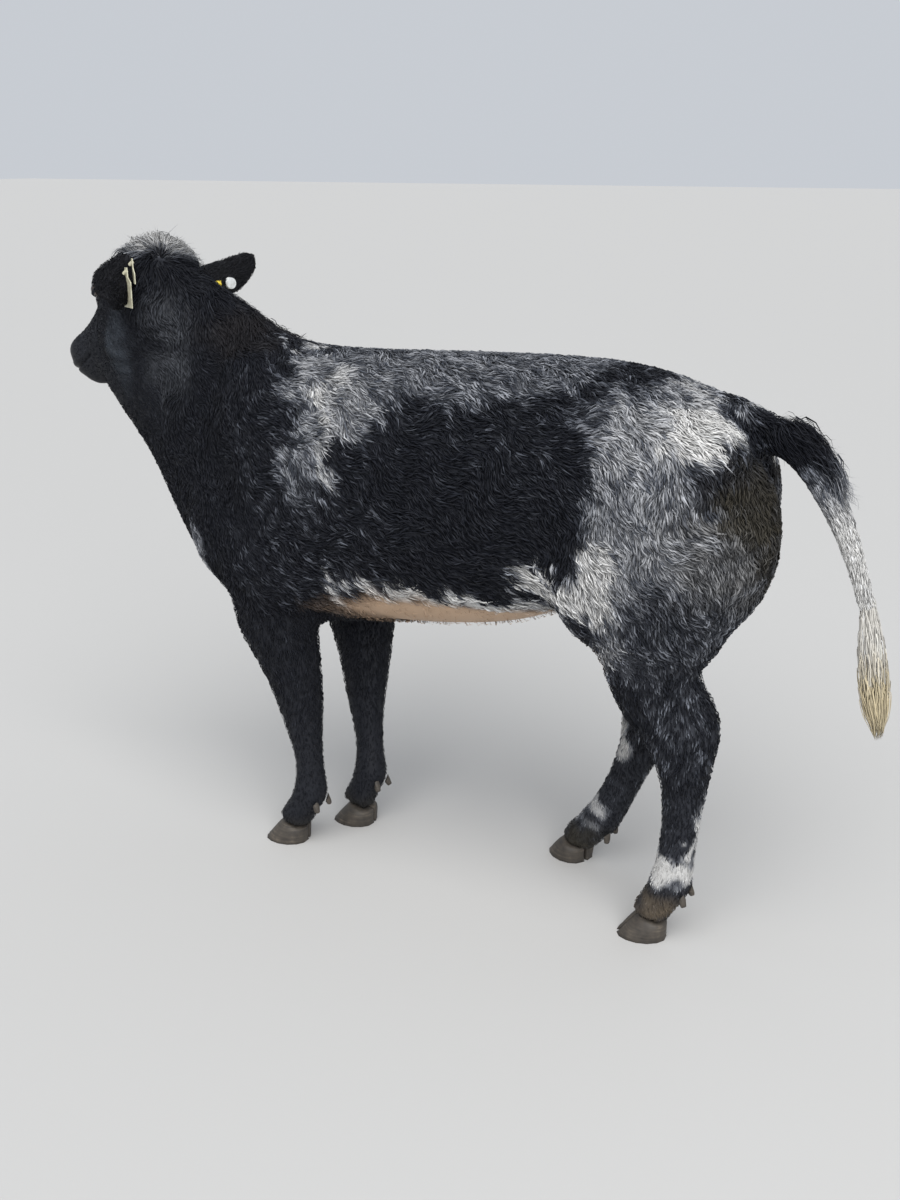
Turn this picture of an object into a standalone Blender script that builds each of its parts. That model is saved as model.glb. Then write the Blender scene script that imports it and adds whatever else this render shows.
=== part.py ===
"""A yearling Belgian Blue heifer, standing with its head raised and turned a little to its right.

Life-size still model in metres, +Z up. The animal faces -X, and -Y is its left side. The origin is
on the ground, under the middle of the whole model.
"""

import math
import random

import bmesh
import bpy
import numpy as np
from mathutils import Matrix, Vector

# Fit between neighbouring nodes, and the grain of the fused flesh
GAP = 0.0003
BODY_GRAIN = 0.010
HEAD_GRAIN = 0.0045
BODY_ROUNDS = 14
HEAD_ROUNDS = 12
BODY_BLEND = 36
HEAD_BLEND = 7
BODY_TRIANGLES = 5200
HEAD_TRIANGLES = 2200

# Where the animal's own zero lies in the model: half way along and across its box
CENTRE = Vector((-0.159, 0.0, 0.0))

# Trunk and neck, from the tail head to the throat: the top and the bottom of each section as (x, z),
# its half width, and how square it is above and below (2 is an ellipse)
TRUNK = (
    ((0.545, 1.045), (0.545, 0.880), 0.085, 2.0, 2.0),
    ((0.480, 1.092), (0.490, 0.800), 0.155, 2.1, 2.0),
    ((0.360, 1.132), (0.370, 0.720), 0.205, 2.3, 2.1),
    ((0.240, 1.148), (0.240, 0.668), 0.232, 2.4, 2.2),
    ((0.100, 1.150), (0.100, 0.608), 0.250, 2.4, 2.3),
    ((-0.050, 1.146), (-0.050, 0.578), 0.256, 2.3, 2.3),
    ((-0.200, 1.141), (-0.200, 0.560), 0.248, 2.2, 2.2),
    ((-0.330, 1.140), (-0.350, 0.535), 0.224, 2.0, 2.1),
    ((-0.440, 1.144), (-0.510, 0.516), 0.196, 1.9, 2.0),
    ((-0.525, 1.163), (-0.670, 0.560), 0.168, 1.9, 2.0),
    ((-0.605, 1.208), (-0.785, 0.690), 0.140, 1.9, 1.9),
    ((-0.695, 1.258), (-0.872, 0.832), 0.118, 1.9, 1.75),
    ((-0.775, 1.297), (-0.957, 0.930), 0.104, 1.9, 1.7),
    ((-0.825, 1.315), (-1.012, 1.000), 0.086, 2.0, 1.6),
    ((-0.880, 1.300), (-1.030, 1.060), 0.060, 2.0, 1.6),
)

# Muscle masses of one side: centre, radii, and turns about X, Y and Z in degrees
MUSCLES = (
    ((-0.470, 0.130, 0.930), (0.120, 0.085, 0.220), (8, -22, 0)),  # shoulder blade
    ((-0.585, 0.120, 0.740), (0.105, 0.085, 0.130), (0, -10, 0)),  # point of the shoulder
    ((-0.460, 0.158, 0.700), (0.140, 0.082, 0.130), (0, 12, 0)),  # upper arm
    ((0.250, 0.160, 1.025), (0.110, 0.075, 0.082), (0, 0, 0)),  # hip bone
    ((0.370, 0.125, 0.960), (0.180, 0.115, 0.122), (0, 12, 0)),  # croup
    ((-0.020, 0.165, 0.860), (0.250, 0.095, 0.210), (0, 0, 0)),  # ribs
)
LEFT_THIGH = (
    ((0.445, -0.140, 0.865), (0.192, 0.132, 0.225), (0, 4, 0)),
    ((0.300, -0.165, 0.760), (0.092, 0.080, 0.135), (0, 8, 0)),
    ((0.400, -0.130, 0.700), (0.150, 0.100, 0.130), (0, 0, 0)),
)
RIGHT_THIGH = (
    ((0.375, 0.140, 0.870), (0.185, 0.132, 0.215), (0, 8, 0)),
    ((0.270, 0.165, 0.760), (0.095, 0.080, 0.135), (0, 4, 0)),
    ((0.355, 0.130, 0.700), (0.125, 0.095, 0.120), (0, 0, 0)),
)

# Legs, from the top down: centre, half depth from front to back, half width
LEFT_FORELEG = (
    ((-0.470, -0.140, 0.680), 0.110, 0.075),
    ((-0.474, -0.125, 0.560), 0.096, 0.076),
    ((-0.458, -0.114, 0.488), 0.082, 0.066),
    ((-0.444, -0.106, 0.420), 0.067, 0.055),
    ((-0.434, -0.100, 0.355), 0.055, 0.050),
    ((-0.428, -0.097, 0.300), 0.045, 0.042),
    ((-0.421, -0.093, 0.225), 0.036, 0.033),
    ((-0.420, -0.090, 0.170), 0.037, 0.035),
    ((-0.423, -0.088, 0.130), 0.042, 0.042),
    ((-0.442, -0.086, 0.095), 0.037, 0.041),
    ((-0.464, -0.084, 0.060), 0.040, 0.043),
    ((-0.484, -0.086, 0.020), 0.040, 0.042),
)
RIGHT_FORELEG = (
    ((-0.430, 0.140, 0.680), 0.110, 0.075),
    ((-0.415, 0.125, 0.560), 0.096, 0.076),
    ((-0.400, 0.112, 0.488), 0.082, 0.066),
    ((-0.386, 0.100, 0.420), 0.067, 0.055),
    ((-0.378, 0.088, 0.355), 0.055, 0.050),
    ((-0.372, 0.080, 0.300), 0.045, 0.042),
    ((-0.362, 0.072, 0.225), 0.036, 0.033),
    ((-0.357, 0.068, 0.170), 0.037, 0.035),
    ((-0.356, 0.066, 0.130), 0.042, 0.042),
    ((-0.370, 0.064, 0.095), 0.037, 0.041),
    ((-0.386, 0.063, 0.060), 0.040, 0.043),
    ((-0.400, 0.062, 0.020), 0.040, 0.042),
)
LEFT_HINDLEG = (
    ((0.395, -0.130, 0.700), 0.140, 0.095),
    ((0.388, -0.124, 0.617), 0.102, 0.076),
    ((0.402, -0.120, 0.560), 0.090, 0.064),
    ((0.432, -0.116, 0.515), 0.094, 0.052),
    ((0.458, -0.112, 0.465), 0.086, 0.046),
    ((0.467, -0.110, 0.400), 0.061, 0.043),
    ((0.468, -0.106, 0.330), 0.046, 0.037),
    ((0.463, -0.102, 0.250), 0.040, 0.034),
    ((0.456, -0.098, 0.180), 0.041, 0.037),
    ((0.449, -0.096, 0.135), 0.046, 0.043),
    ((0.431, -0.094, 0.095), 0.040, 0.041),
    ((0.411, -0.094, 0.060), 0.040, 0.043),
    ((0.394, -0.096, 0.020), 0.040, 0.042),
)
RIGHT_HINDLEG = (
    ((0.360, 0.130, 0.700), 0.130, 0.095),
    ((0.345, 0.128, 0.610), 0.098, 0.078),
    ((0.336, 0.128, 0.540), 0.088, 0.066),
    ((0.325, 0.128, 0.480), 0.082, 0.054),
    ((0.312, 0.128, 0.420), 0.072, 0.046),
    ((0.304, 0.128, 0.350), 0.060, 0.042),
    ((0.284, 0.128, 0.290), 0.047, 0.037),
    ((0.255, 0.128, 0.215), 0.041, 0.034),
    ((0.228, 0.128, 0.155), 0.042, 0.038),
    ((0.207, 0.129, 0.118), 0.045, 0.042),
    ((0.182, 0.132, 0.088), 0.040, 0.041),
    ((0.156, 0.138, 0.058), 0.042, 0.042),
    ((0.136, 0.146, 0.030), 0.042, 0.042),
)

LEGS = {
    "fore_left": LEFT_FORELEG,
    "fore_right": RIGHT_FORELEG,
    "hind_left": LEFT_HINDLEG,
    "hind_right": RIGHT_HINDLEG,
}
FETLOCK = -4

# Feet: the middle of the claws' heels on the ground, and how far the toes turn to the animal's left,
# in degrees
FEET = {
    "fore_left": ((-0.440, -0.074), 15),
    "fore_right": ((-0.349, 0.070), 8),
    "hind_left": ((0.440, -0.078), 20),
    "hind_right": ((0.172, 0.130), -22),
}
CLAW_LENGTH = 0.102
CLAW_WIDTH = 0.044
CLAW_GAP = 0.003
CORONET_FRONT = 0.064
CORONET_HEEL = 0.036
TOE_SLOPE = 52

# Tail: the middle of its line as (x, y, z), and its half thickness
TAIL = (
    ((0.440, 0.000, 1.062), 0.050),
    ((0.500, 0.000, 1.062), 0.047),
    ((0.560, -0.004, 1.045), 0.042),
    ((0.612, -0.008, 1.015), 0.036),
    ((0.656, -0.010, 0.970), 0.031),
    ((0.692, -0.010, 0.915), 0.027),
    ((0.722, -0.008, 0.850), 0.023),
    ((0.750, -0.004, 0.775), 0.020),
    ((0.774, 0.000, 0.695), 0.019),
)
SWITCH_TOP = Vector((0.7665, 0.0, 0.720))
SWITCH_TIP = Vector((0.806, 0.0, 0.474))
SWITCH_START = GAP
SWITCH_CORE = ((0.0, 0.0165), (0.12, 0.019), (0.3, 0.021), (0.5, 0.019), (0.66, 0.011))
SWITCH_LOCKS = 18
LOCK_SPANS = 4
POLL_LOCKS = 14
POLL_LOCK_LENGTH = 0.046

# Head: the poll, and how far the head turns right, dips and leans over to its right, in degrees
POLL = Vector((-0.845, 0.006, 1.330))
HEAD_TURN = 17.5
HEAD_DIP = 28
HEAD_LEAN = 15
# Sections along the face: distance from the poll, top and bottom height from the poll, half width
FACE = (
    (-0.070, -0.050, -0.180, 0.066),
    (-0.025, -0.010, -0.225, 0.086),
    (0.035, 0.004, -0.250, 0.097),
    (0.092, -0.004, -0.256, 0.097),
    (0.140, -0.016, -0.248, 0.089),
    (0.185, -0.030, -0.232, 0.077),
    (0.228, -0.044, -0.213, 0.069),
    (0.270, -0.055, -0.199, 0.065),
    (0.312, -0.064, -0.190, 0.066),
    (0.350, -0.073, -0.184, 0.066),
    (0.376, -0.092, -0.172, 0.053),
)
# Bulges of one side of the head: centre, radii, turns
HEAD_BULGES = (
    ((0.092, 0.050, -0.150), (0.108, 0.046, 0.102), (0, 24, 0)),  # cheek
    ((0.128, 0.072, -0.066), (0.042, 0.030, 0.034), (0, 0, 0)),  # eye socket
    ((0.098, 0.058, -0.040), (0.050, 0.032, 0.024), (0, 10, 0)),  # brow
    ((0.342, 0.040, -0.114), (0.038, 0.031, 0.036), (0, 0, 0)),  # side of the muzzle
    ((0.010, 0.080, -0.066), (0.036, 0.026, 0.034), (0, 0, 0)),  # root of the ear
)
HEAD_MIDDLES = (
    ((0.000, 0.0, -0.020), (0.050, 0.060, 0.032), (0, 0, 0)),  # poll
    ((0.312, 0.0, -0.174), (0.055, 0.042, 0.026), (0, 6, 0)),  # chin and lower lip
)
EYE_PLACE = Vector((0.132, 0.088, -0.066))
EYE_RADIUS = 0.0185
LID_LENGTH = 0.0205
LID_HEIGHT = 0.0125
LID_THICK = 0.0045
NOSTRIL_PLACE = Vector((0.372, 0.038, -0.108))
NOSTRIL_RADII = (0.012, 0.0060, 0.0100)
MOUTH_FRONT = (0.395, -0.153)
MOUTH_BACK = (0.268, -0.158)
MOUTH_GROOVE = 0.0022
# The head ends on a plane from behind the poll to the throat, in the head's own axes
NAPE = Vector((-0.055, 0, 0.005))
THROAT = Vector((0.045, 0, -0.270))

# Ears: length, width, wall, root in the head's own axes, and each one's aim in the model's axes
EAR_LENGTH = 0.165
EAR_WIDTH = 0.090
EAR_WALL = 0.0055
EAR_ROOT = {"left": Vector((0.002, 0.086, -0.062)), "right": Vector((0.002, -0.086, -0.084))}
EAR_AIM = {"left": Vector((0.44, -0.82, -0.35)), "right": Vector((0.26, 0.88, 0.36))}
EAR_ROWS = 8
EAR_COLUMNS = 8
EAR_BASE = (0.022, 0.024, 0.040)
EAR_BASE_REACH = 0.022
TAG_THICK = 0.002
TAG_STAND_OFF = 0.010
YELLOW_TAG_FACING = Vector((0.60, -0.78, 0.18))

# Thin cuts that part the body: from withers to brisket, behind the shoulders, before the rump, and
# the level of the thighs' top
NECK_CUT = ((-0.500, 0, 1.150), (-0.790, 0, 0.700))
SHOULDER_END = -0.285
RUMP_START = 0.175
THIGH_TOP = 0.880
LEG_INNER = 0.028
# Each leg: the name of its upper length, the levels of its top and its lower joint, and its reach
LEG_CUTS = {
    "fore_left": ("forearm", 0.545, 0.330, (-0.700, -0.250)),
    "fore_right": ("forearm", 0.545, 0.330, (-0.700, -0.250)),
    "hind_left": ("shank", 0.620, 0.440, (0.150, 0.660)),
    "hind_right": ("shank", 0.620, 0.400, (0.000, 0.600)),
}
# Cuts across the tail, from its tip up: a point and the aim of the tail there
TAIL_CUTS = (
    ("tail_middle", (0.700, 0.0, 0.899), (0.42, 0.0, -0.907)),
    ("tail_dock", (0.585, -0.005, 1.032), (0.80, 0.0, -0.60)),
)
# The box that holds the head, on the plane that parts it from the neck
HEAD_BOX = ((-0.20, -0.22, 0), (0.345, 0.22, 0.60))
NECK_FIRST = 8
# Forward of this the head melts into the neck
HEAD_ZONE = -0.78
MOUTH_CORE = 0.092

# Trunk masses on the middle line: the brisket and the udder
MIDDLE_MASSES = (
    ((-0.600, 0.0, 0.640), (0.130, 0.105, 0.110), (0, 20, 0)),
    ((0.245, 0.0, 0.705), (0.080, 0.070, 0.042), (0, -10, 0)),
)

# Seeded, so that every lock falls the same way each time
SEED = 11
TAG_FINISH = {
    "pale": ("tag_pale", (0.72, 0.70, 0.52, 1)),
    "yellow": ("tag_yellow", (0.80, 0.62, 0.04, 1)),
    "button": ("tag_white", (0.75, 0.76, 0.76, 1)),
}

# Colours as the coat and horn show, from dark to light
GREY_COAT = (0.145, 0.155, 0.185, 1)
PALE_COAT = (0.62, 0.60, 0.55, 1)
CLAW_HORN = (0.10, 0.085, 0.07, 1)
EYE_DARK = (0.010, 0.008, 0.008, 1)


def clear_scene():
    for thing in list(bpy.data.objects):
        bpy.data.objects.remove(thing)


def material(name, colour, roughness=0.85):
    """A plain shader, made once for each name."""
    made = bpy.data.materials.get(name)
    if made is None:
        made = bpy.data.materials.new(name)
        made.use_nodes = True
        shader = made.node_tree.nodes["Principled BSDF"]
        shader.inputs["Base Color"].default_value = colour
        shader.inputs["Roughness"].default_value = roughness
        shader.inputs["Metallic"].default_value = 0.0
        made.diffuse_color = colour
    return made


def solid(name, bm):
    """An object that holds this bmesh."""
    mesh = bpy.data.meshes.new(name)
    bm.to_mesh(mesh)
    bm.free()
    made = bpy.data.objects.new(name, mesh)
    bpy.context.collection.objects.link(made)
    return made


def evaluated(obj):
    """The object with its modifiers applied to its mesh."""
    graph = bpy.context.evaluated_depsgraph_get()
    mesh = bpy.data.meshes.new_from_object(obj.evaluated_get(graph))
    obj.modifiers.clear()
    old = obj.data
    obj.data = mesh
    bpy.data.meshes.remove(old)
    return obj


def combined(target, other, operation):
    """Target joined with, cut by or kept inside the other object."""
    modifier = target.modifiers.new("Combine", "BOOLEAN")
    modifier.operation = operation
    modifier.object = other
    modifier.solver = "EXACT"
    return evaluated(target)


def largest_surface(obj):
    """The object without any loose scrap or sealed hollow that a cut or union left."""
    bm = bmesh.new()
    bm.from_mesh(obj.data)
    bm.verts.ensure_lookup_table()
    seen = set()
    groups = []
    for start in bm.verts:
        if start in seen:
            continue
        group, reach = [], [start]
        seen.add(start)
        while reach:
            vertex = reach.pop()
            group.append(vertex)
            for edge in vertex.link_edges:
                near = edge.other_vert(vertex)
                if near not in seen:
                    seen.add(near)
                    reach.append(near)
        groups.append(group)
    groups.sort(key=len, reverse=True)
    for group in groups[1:]:
        bmesh.ops.delete(bm, geom=group, context="VERTS")
    bm.to_mesh(obj.data)
    bm.free()
    return obj


def union(name, pieces):
    """One closed body out of closed pieces that overlap."""
    group = bpy.data.collections.new(name + "_pieces")
    for piece in pieces[1:]:
        bpy.context.collection.objects.unlink(piece)
        group.objects.link(piece)
    bpy.context.scene.collection.children.link(group)
    body = pieces[0]
    body.name = name
    modifier = body.modifiers.new("Union", "BOOLEAN")
    modifier.operation = "UNION"
    modifier.operand_type = "COLLECTION"
    modifier.collection = group
    modifier.solver = "EXACT"
    evaluated(body)
    for piece in pieces[1:]:
        bpy.data.objects.remove(piece)
    bpy.data.collections.remove(group)
    return largest_surface(body)


def turned(degrees):
    """A rotation by turns about X, then Y, then Z."""
    x, y, z = (math.radians(d) for d in degrees)
    return Matrix.Rotation(z, 4, "Z") @ Matrix.Rotation(y, 4, "Y") @ Matrix.Rotation(x, 4, "X")


def add_ellipsoid(bm, centre, radii, turns=(0, 0, 0), frame=Matrix.Identity(4), around=24):
    place = frame @ Matrix.Translation(centre) @ turned(turns) @ Matrix.Diagonal((*radii, 1))
    bmesh.ops.create_uvsphere(bm, u_segments=around, v_segments=around // 2, radius=1, matrix=place)


def mirrored(centre, turns, side):
    """A centre and turns of one side, moved to the left (-1) or kept on the right (1)."""
    x, y, z = centre
    return (x, y * side, z), (turns[0] * side, turns[1], turns[2] * side)


def curve_through(values, t):
    """A smooth curve that passes through evenly spaced values, read at each t from 0 to 1."""
    values = np.asarray(values, float)
    slopes = np.gradient(values, axis=0)
    reach = np.clip(np.asarray(t, float), 0, 1) * (len(values) - 1)
    start = np.clip(reach.astype(int), 0, len(values) - 2)
    u = reach - start
    if values.ndim > 1:
        u = u[:, None]
    first, last = values[start], values[start + 1]
    leaving, arriving = slopes[start], slopes[start + 1]
    return (
        (2 * u**3 - 3 * u**2 + 1) * first
        + (u**3 - 2 * u**2 + u) * leaving
        + (3 * u**2 - 2 * u**3) * last
        + (u**3 - u**2) * arriving
    )


def add_sweep(bm, centres, ups, sides, square_above, square_below, around=28, rings=48):
    """A closed tube through sections. Each has a centre, a half depth vector, a half width vector and
    a squareness above and below. It is a sphere whose rings are moved to the sections."""
    made = bmesh.ops.create_uvsphere(bm, u_segments=around, v_segments=rings, radius=1)["verts"]
    points = np.array([v.co for v in made])
    t = 0.5 + np.arcsin(np.clip(points[:, 2], -1, 1)) / math.pi
    pole = np.hypot(points[:, 0], points[:, 1]) < 1e-5
    angle = np.arctan2(points[:, 1], points[:, 0])
    across, along = np.cos(angle), np.sin(angle)
    power = 2 / np.where(along > 0, curve_through(square_above, t), curve_through(square_below, t))
    u = np.where(pole, 0, np.sign(across) * np.abs(across) ** power)
    v = np.where(pole, 0, np.sign(along) * np.abs(along) ** power)
    placed = (
        curve_through(centres, t)
        + u[:, None] * curve_through(sides, t)
        + v[:, None] * curve_through(ups, t)
    )
    for vertex, point in zip(made, placed):
        vertex.co = point


def add_trunk(bm, first=0):
    sections = TRUNK[first:]
    tops = np.array([(top[0], 0, top[1]) for top, _, _, _, _ in sections])
    bottoms = np.array([(low[0], 0, low[1]) for _, low, _, _, _ in sections])
    sides = np.array([(0, width, 0) for _, _, width, _, _ in sections])
    add_sweep(
        bm,
        (tops + bottoms) / 2,
        (tops - bottoms) / 2,
        sides,
        [section[3] for section in sections],
        [section[4] for section in sections],
        around=36,
        rings=64,
    )


def limb_axes(sections):
    """The centres of a leg or tail, with its front and its side at each."""
    centres = np.array([s[0] for s in sections])
    along = np.gradient(centres, axis=0)
    along /= np.linalg.norm(along, axis=1)[:, None]
    side = np.cross(along, (1.0, 0, 0))
    upright = np.abs(along[:, 0]) > 0.9
    side[upright] = (0, -1, 0)
    side /= np.linalg.norm(side, axis=1)[:, None]
    return centres, np.cross(side, along), side, along


def add_limb(bm, sections):
    """A leg or tail: each section stands square to the line of centres, its depth to the front."""
    centres, front, side, _ = limb_axes(sections)
    depths = np.array([s[1] for s in sections])
    widths = np.array([s[-1] for s in sections])
    round_section = [2.1] * len(sections)
    add_sweep(
        bm, centres, front * depths[:, None], side * widths[:, None], round_section, round_section
    )


def add_side_muscles(bm, muscles, side):
    for centre, radii, turns in muscles:
        place, turn = mirrored(centre, turns, side)
        add_ellipsoid(bm, place, radii, turn)


def head_frame():
    """The head's own axes: X to the nose, Y to its left, Z up, from the poll."""
    turn, dip, lean = (math.radians(d) for d in (HEAD_TURN, HEAD_DIP, HEAD_LEAN))
    level = Vector((-math.cos(turn), math.sin(turn), 0))
    nose = level * math.cos(dip) - Vector((0, 0, 1)) * math.sin(dip)
    up = level * math.sin(dip) + Vector((0, 0, 1)) * math.cos(dip)
    left = up.cross(nose)
    leaned_left = left * math.cos(lean) + up * math.sin(lean)
    leaned_up = up * math.cos(lean) - left * math.sin(lean)
    frame = Matrix((nose, leaned_left, leaned_up)).transposed().to_4x4()
    return Matrix.Translation(POLL) @ frame


def add_head(bm):
    frame = head_frame()
    turn = frame.to_3x3()
    middles = np.array([frame @ Vector((a, 0, (top + low) / 2)) for a, top, low, _ in FACE])
    ups = np.array([turn @ Vector((0, 0, (top - low) / 2)) for _, top, low, _ in FACE])
    sides = np.array([turn @ Vector((0, width, 0)) for _, _, _, width in FACE])
    add_sweep(bm, middles, ups, sides, [2.4] * len(FACE), [2.2] * len(FACE), rings=40)
    for centre, radii, turns in HEAD_BULGES:
        for side in (-1, 1):
            place, leaned = mirrored(centre, turns, side)
            add_ellipsoid(bm, place, radii, leaned, frame)
    for centre, radii, turns in HEAD_MIDDLES:
        add_ellipsoid(bm, centre, radii, turns, frame)


def fused(name, bm, grain, rounds, blend, triangles):
    """The overlapping closed shapes of a bmesh as one smooth skin of about so many triangles."""
    body = solid(name, bm)
    remesh = body.modifiers.new("Fuse", "REMESH")
    remesh.mode = "VOXEL"
    remesh.voxel_size = grain
    evaluated(body)
    smooth(body.data, rounds, blend)
    if triangles is None:
        return largest_surface(body)
    thin = body.modifiers.new("Thin", "DECIMATE")
    thin.ratio = triangles / (2 * len(body.data.polygons))
    thin.use_collapse_triangulate = True
    return largest_surface(evaluated(body))


def fade(values, low, high):
    """0 below low, 1 above high, and smooth between them."""
    t = np.clip((values - low) / (high - low), 0, 1)
    return t * t * (3 - 2 * t)


def trunk_share(points):
    """1 on the trunk, where neighbouring muscles melt together, and 0 on legs, head and tail."""
    x, z = points[:, 0], points[:, 2]
    return (fade(z, 0.60, 0.74) * fade(x, -0.84, -0.66) * (1 - fade(x, 0.56, 0.66)))[:, None]


def smooth(mesh, rounds, blend):
    """Evens out a mesh: rounds that move the points in and out again, so that nothing shrinks, and
    on the trunk rounds that only move them in, which melt the muscles together."""
    count = len(mesh.vertices)
    points = np.empty(count * 3)
    mesh.vertices.foreach_get("co", points)
    points = points.reshape(-1, 3)
    ends = np.empty(len(mesh.edges) * 2, np.int32)
    mesh.edges.foreach_get("vertices", ends)
    ends = ends.reshape(-1, 2)
    near = np.bincount(ends.ravel(), minlength=count)[:, None]
    trunk = trunk_share(points) + (points[:, 0:1] < HEAD_ZONE)
    steps = [0.52, -0.54] * rounds + [0.5 * np.clip(trunk, 0, 1)] * blend
    for share in steps:
        total = np.empty((count, 3))
        for axis in range(3):
            first = np.bincount(ends[:, 0], points[ends[:, 1], axis], count)
            total[:, axis] = first + np.bincount(ends[:, 1], points[ends[:, 0], axis], count)
        points += share * (total / near - points)
    mesh.vertices.foreach_set("co", points.ravel())
    mesh.update()


def box_cutter(low, high, frame=Matrix.Identity(4)):
    """A box between two corners of a frame."""
    bm = bmesh.new()
    size = [b - a for a, b in zip(low, high)]
    middle = [(a + b) / 2 for a, b in zip(low, high)]
    place = frame @ Matrix.Translation(middle) @ Matrix.Diagonal((*size, 1))
    bmesh.ops.create_cube(bm, size=1, matrix=place)
    return solid("cutter", bm)


def copy_of(obj, name):
    made = obj.copy()
    made.data = obj.data.copy()
    made.name = name
    bpy.context.collection.objects.link(made)
    return made


def parted(body, name, low, high, frame=Matrix.Identity(4)):
    """Cuts off what lies in a box as a piece of its own, with the gap between the two."""
    inner = box_cutter(low, high, frame)
    outer = box_cutter([a - GAP for a in low], [b + GAP for b in high], frame)
    piece = combined(copy_of(body, name), inner, "INTERSECT")
    combined(body, outer, "DIFFERENCE")
    for cutter in (inner, outer):
        bpy.data.objects.remove(cutter)
    return largest_surface(piece)


def grown(obj, amount):
    """A copy of a small closed piece, swollen by the gap, to cut its seat with."""
    made = copy_of(obj, obj.name + "_seat")
    bm = bmesh.new()
    bm.from_mesh(made.data)
    bm.normal_update()
    moves = [(v, v.normal.copy()) for v in bm.verts]
    for vertex, normal in moves:
        vertex.co += normal * amount
    bm.to_mesh(made.data)
    bm.free()
    return made


def seated(piece, *carriers):
    """Makes room for a piece in what it grows from."""
    seat = grown(piece, GAP)
    for carrier in carriers:
        combined(carrier, seat, "DIFFERENCE")
        largest_surface(carrier)
    bpy.data.objects.remove(seat)
    return piece


def plane_frame(point, normal, across=Vector((0, 1, 0))):
    """Axes at a point, with Z along the normal."""
    up = Vector(normal).normalized()
    side = (Vector(across) - up * up.dot(Vector(across))).normalized()
    return Matrix.Translation(point) @ Matrix((side.cross(up), side, up)).transposed().to_4x4()


def foot_frame(foot):
    """Axes of a foot at the middle of its heels: X to the toes, Z up."""
    (x, y), out = FEET[foot]
    return Matrix.Translation((x, y, 0)) @ Matrix.Rotation(math.pi + math.radians(out), 4, "Z")


def coronet_height(forward):
    """Height of the claw's top edge at a distance forward of the heel."""
    return CORONET_HEEL + (CORONET_FRONT - CORONET_HEEL) * forward / CLAW_LENGTH


def claw(name, foot, side):
    """One claw: flat inside, round outside, its wall sloping back from the toe to the coronet."""
    bm = bmesh.new()
    around, levels = 14, 3
    rings = []
    for level in range(levels + 1):
        share = level / levels
        back = share * CORONET_FRONT / math.tan(math.radians(TOE_SLOPE))
        length = CLAW_LENGTH - back * 0.92
        narrow = 1 - 0.10 * share**2
        ring = []
        for step in range(around):
            angle = 2 * math.pi * step / around
            forward = (0.5 + 0.5 * math.cos(angle)) * length
            taper = 1 - 0.50 * max(0, forward / length - 0.45) ** 1.5
            outward = math.sin(angle)
            width = CLAW_WIDTH * (0.92 if outward > 0 else 0.08) * narrow * taper
            bulge = 0.0025 * math.sin(math.pi * share)
            lateral = abs(outward) ** 0.8 * width * (1 if outward > 0 else -1)
            across = CLAW_GAP / 2 + CLAW_WIDTH * 0.08 + lateral + (bulge if outward > 0 else 0)
            height = share * coronet_height(forward)
            ring.append(bm.verts.new((forward, side * across, height)))
        rings.append(ring)
    for lower, upper in zip(rings, rings[1:]):
        for i in range(around):
            j = (i + 1) % around
            bm.faces.new((lower[i], lower[j], upper[j], upper[i]))
    bm.faces.new(rings[0])
    bm.faces.new(rings[-1])
    bmesh.ops.recalc_face_normals(bm, faces=bm.faces)
    bm.transform(foot_frame(foot))
    bmesh.ops.triangulate(bm, faces=bm.faces)
    return solid(name, bm)


def dewclaw(name, foot, side, leg):
    """A short horn cone behind the fetlock, ending on the leg's surface."""
    centres, fronts, sides, alongs = limb_axes(LEGS[foot])
    front, across, down = (Vector(v[FETLOCK]) for v in (fronts, sides, alongs))
    if front.x > 0:
        front = -front
    if across.y > 0:
        across = -across
    depth = LEGS[foot][FETLOCK][1]
    root = Vector(centres[FETLOCK]) - front * (depth - 0.012) + across * (side * 0.021)
    aim = (-front * 0.62 + across * (side * 0.25) + down * 0.75).normalized()
    place = plane_frame(root + down * 0.010 + aim * 0.009, aim)
    bm = bmesh.new()
    bmesh.ops.create_cone(
        bm, cap_ends=True, segments=9, radius1=0.0100, radius2=0.0060, depth=0.025, matrix=place
    )
    bmesh.ops.triangulate(bm, faces=bm.faces)
    return cut_clear(solid(name, bm), leg)


def ear_axes(side, frame):
    """The ear's root, its aim, its open side and its upper edge, in the model's axes."""
    sign = 1 if side == "left" else -1
    along = EAR_AIM[side].normalized()
    nose = frame.to_3x3() @ Vector((1, 0.25 * sign, -0.25))
    cup = (nose - along * along.dot(nose)).normalized()
    root = frame @ EAR_ROOT[side]
    return root, along, cup, along.cross(cup)


def ear_fold(s):
    """Half the angle that the ear's sheet is rolled through, at a share of its length."""
    return math.radians(150 - 92 * min(1, s * 1.5) ** 0.8)


def ear_outward(axes, s, across):
    """The way the ear's back faces at a point of its sheet."""
    angle = ear_fold(s) * across
    return axes[3] * math.sin(angle) - axes[2] * math.cos(angle)


def ear_point(axes, s, across):
    """A point of the ear's middle sheet: s runs from root to tip, across from edge to edge."""
    root, along, cup, edge = axes
    leaf = 0.26 + 0.74 * math.sin(math.pi * (0.08 + 0.84 * s)) ** 0.9
    half = 0.5 * EAR_WIDTH * leaf
    fold = ear_fold(s)
    radius = half / math.sin(min(fold, math.pi / 2))
    angle = fold * across
    inward = radius * (math.cos(fold) - math.cos(angle)) + 0.7 * min(radius, half)
    middle = root + along * (EAR_LENGTH * s)
    return middle + edge * (radius * math.sin(angle)) + cup * inward


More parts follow.
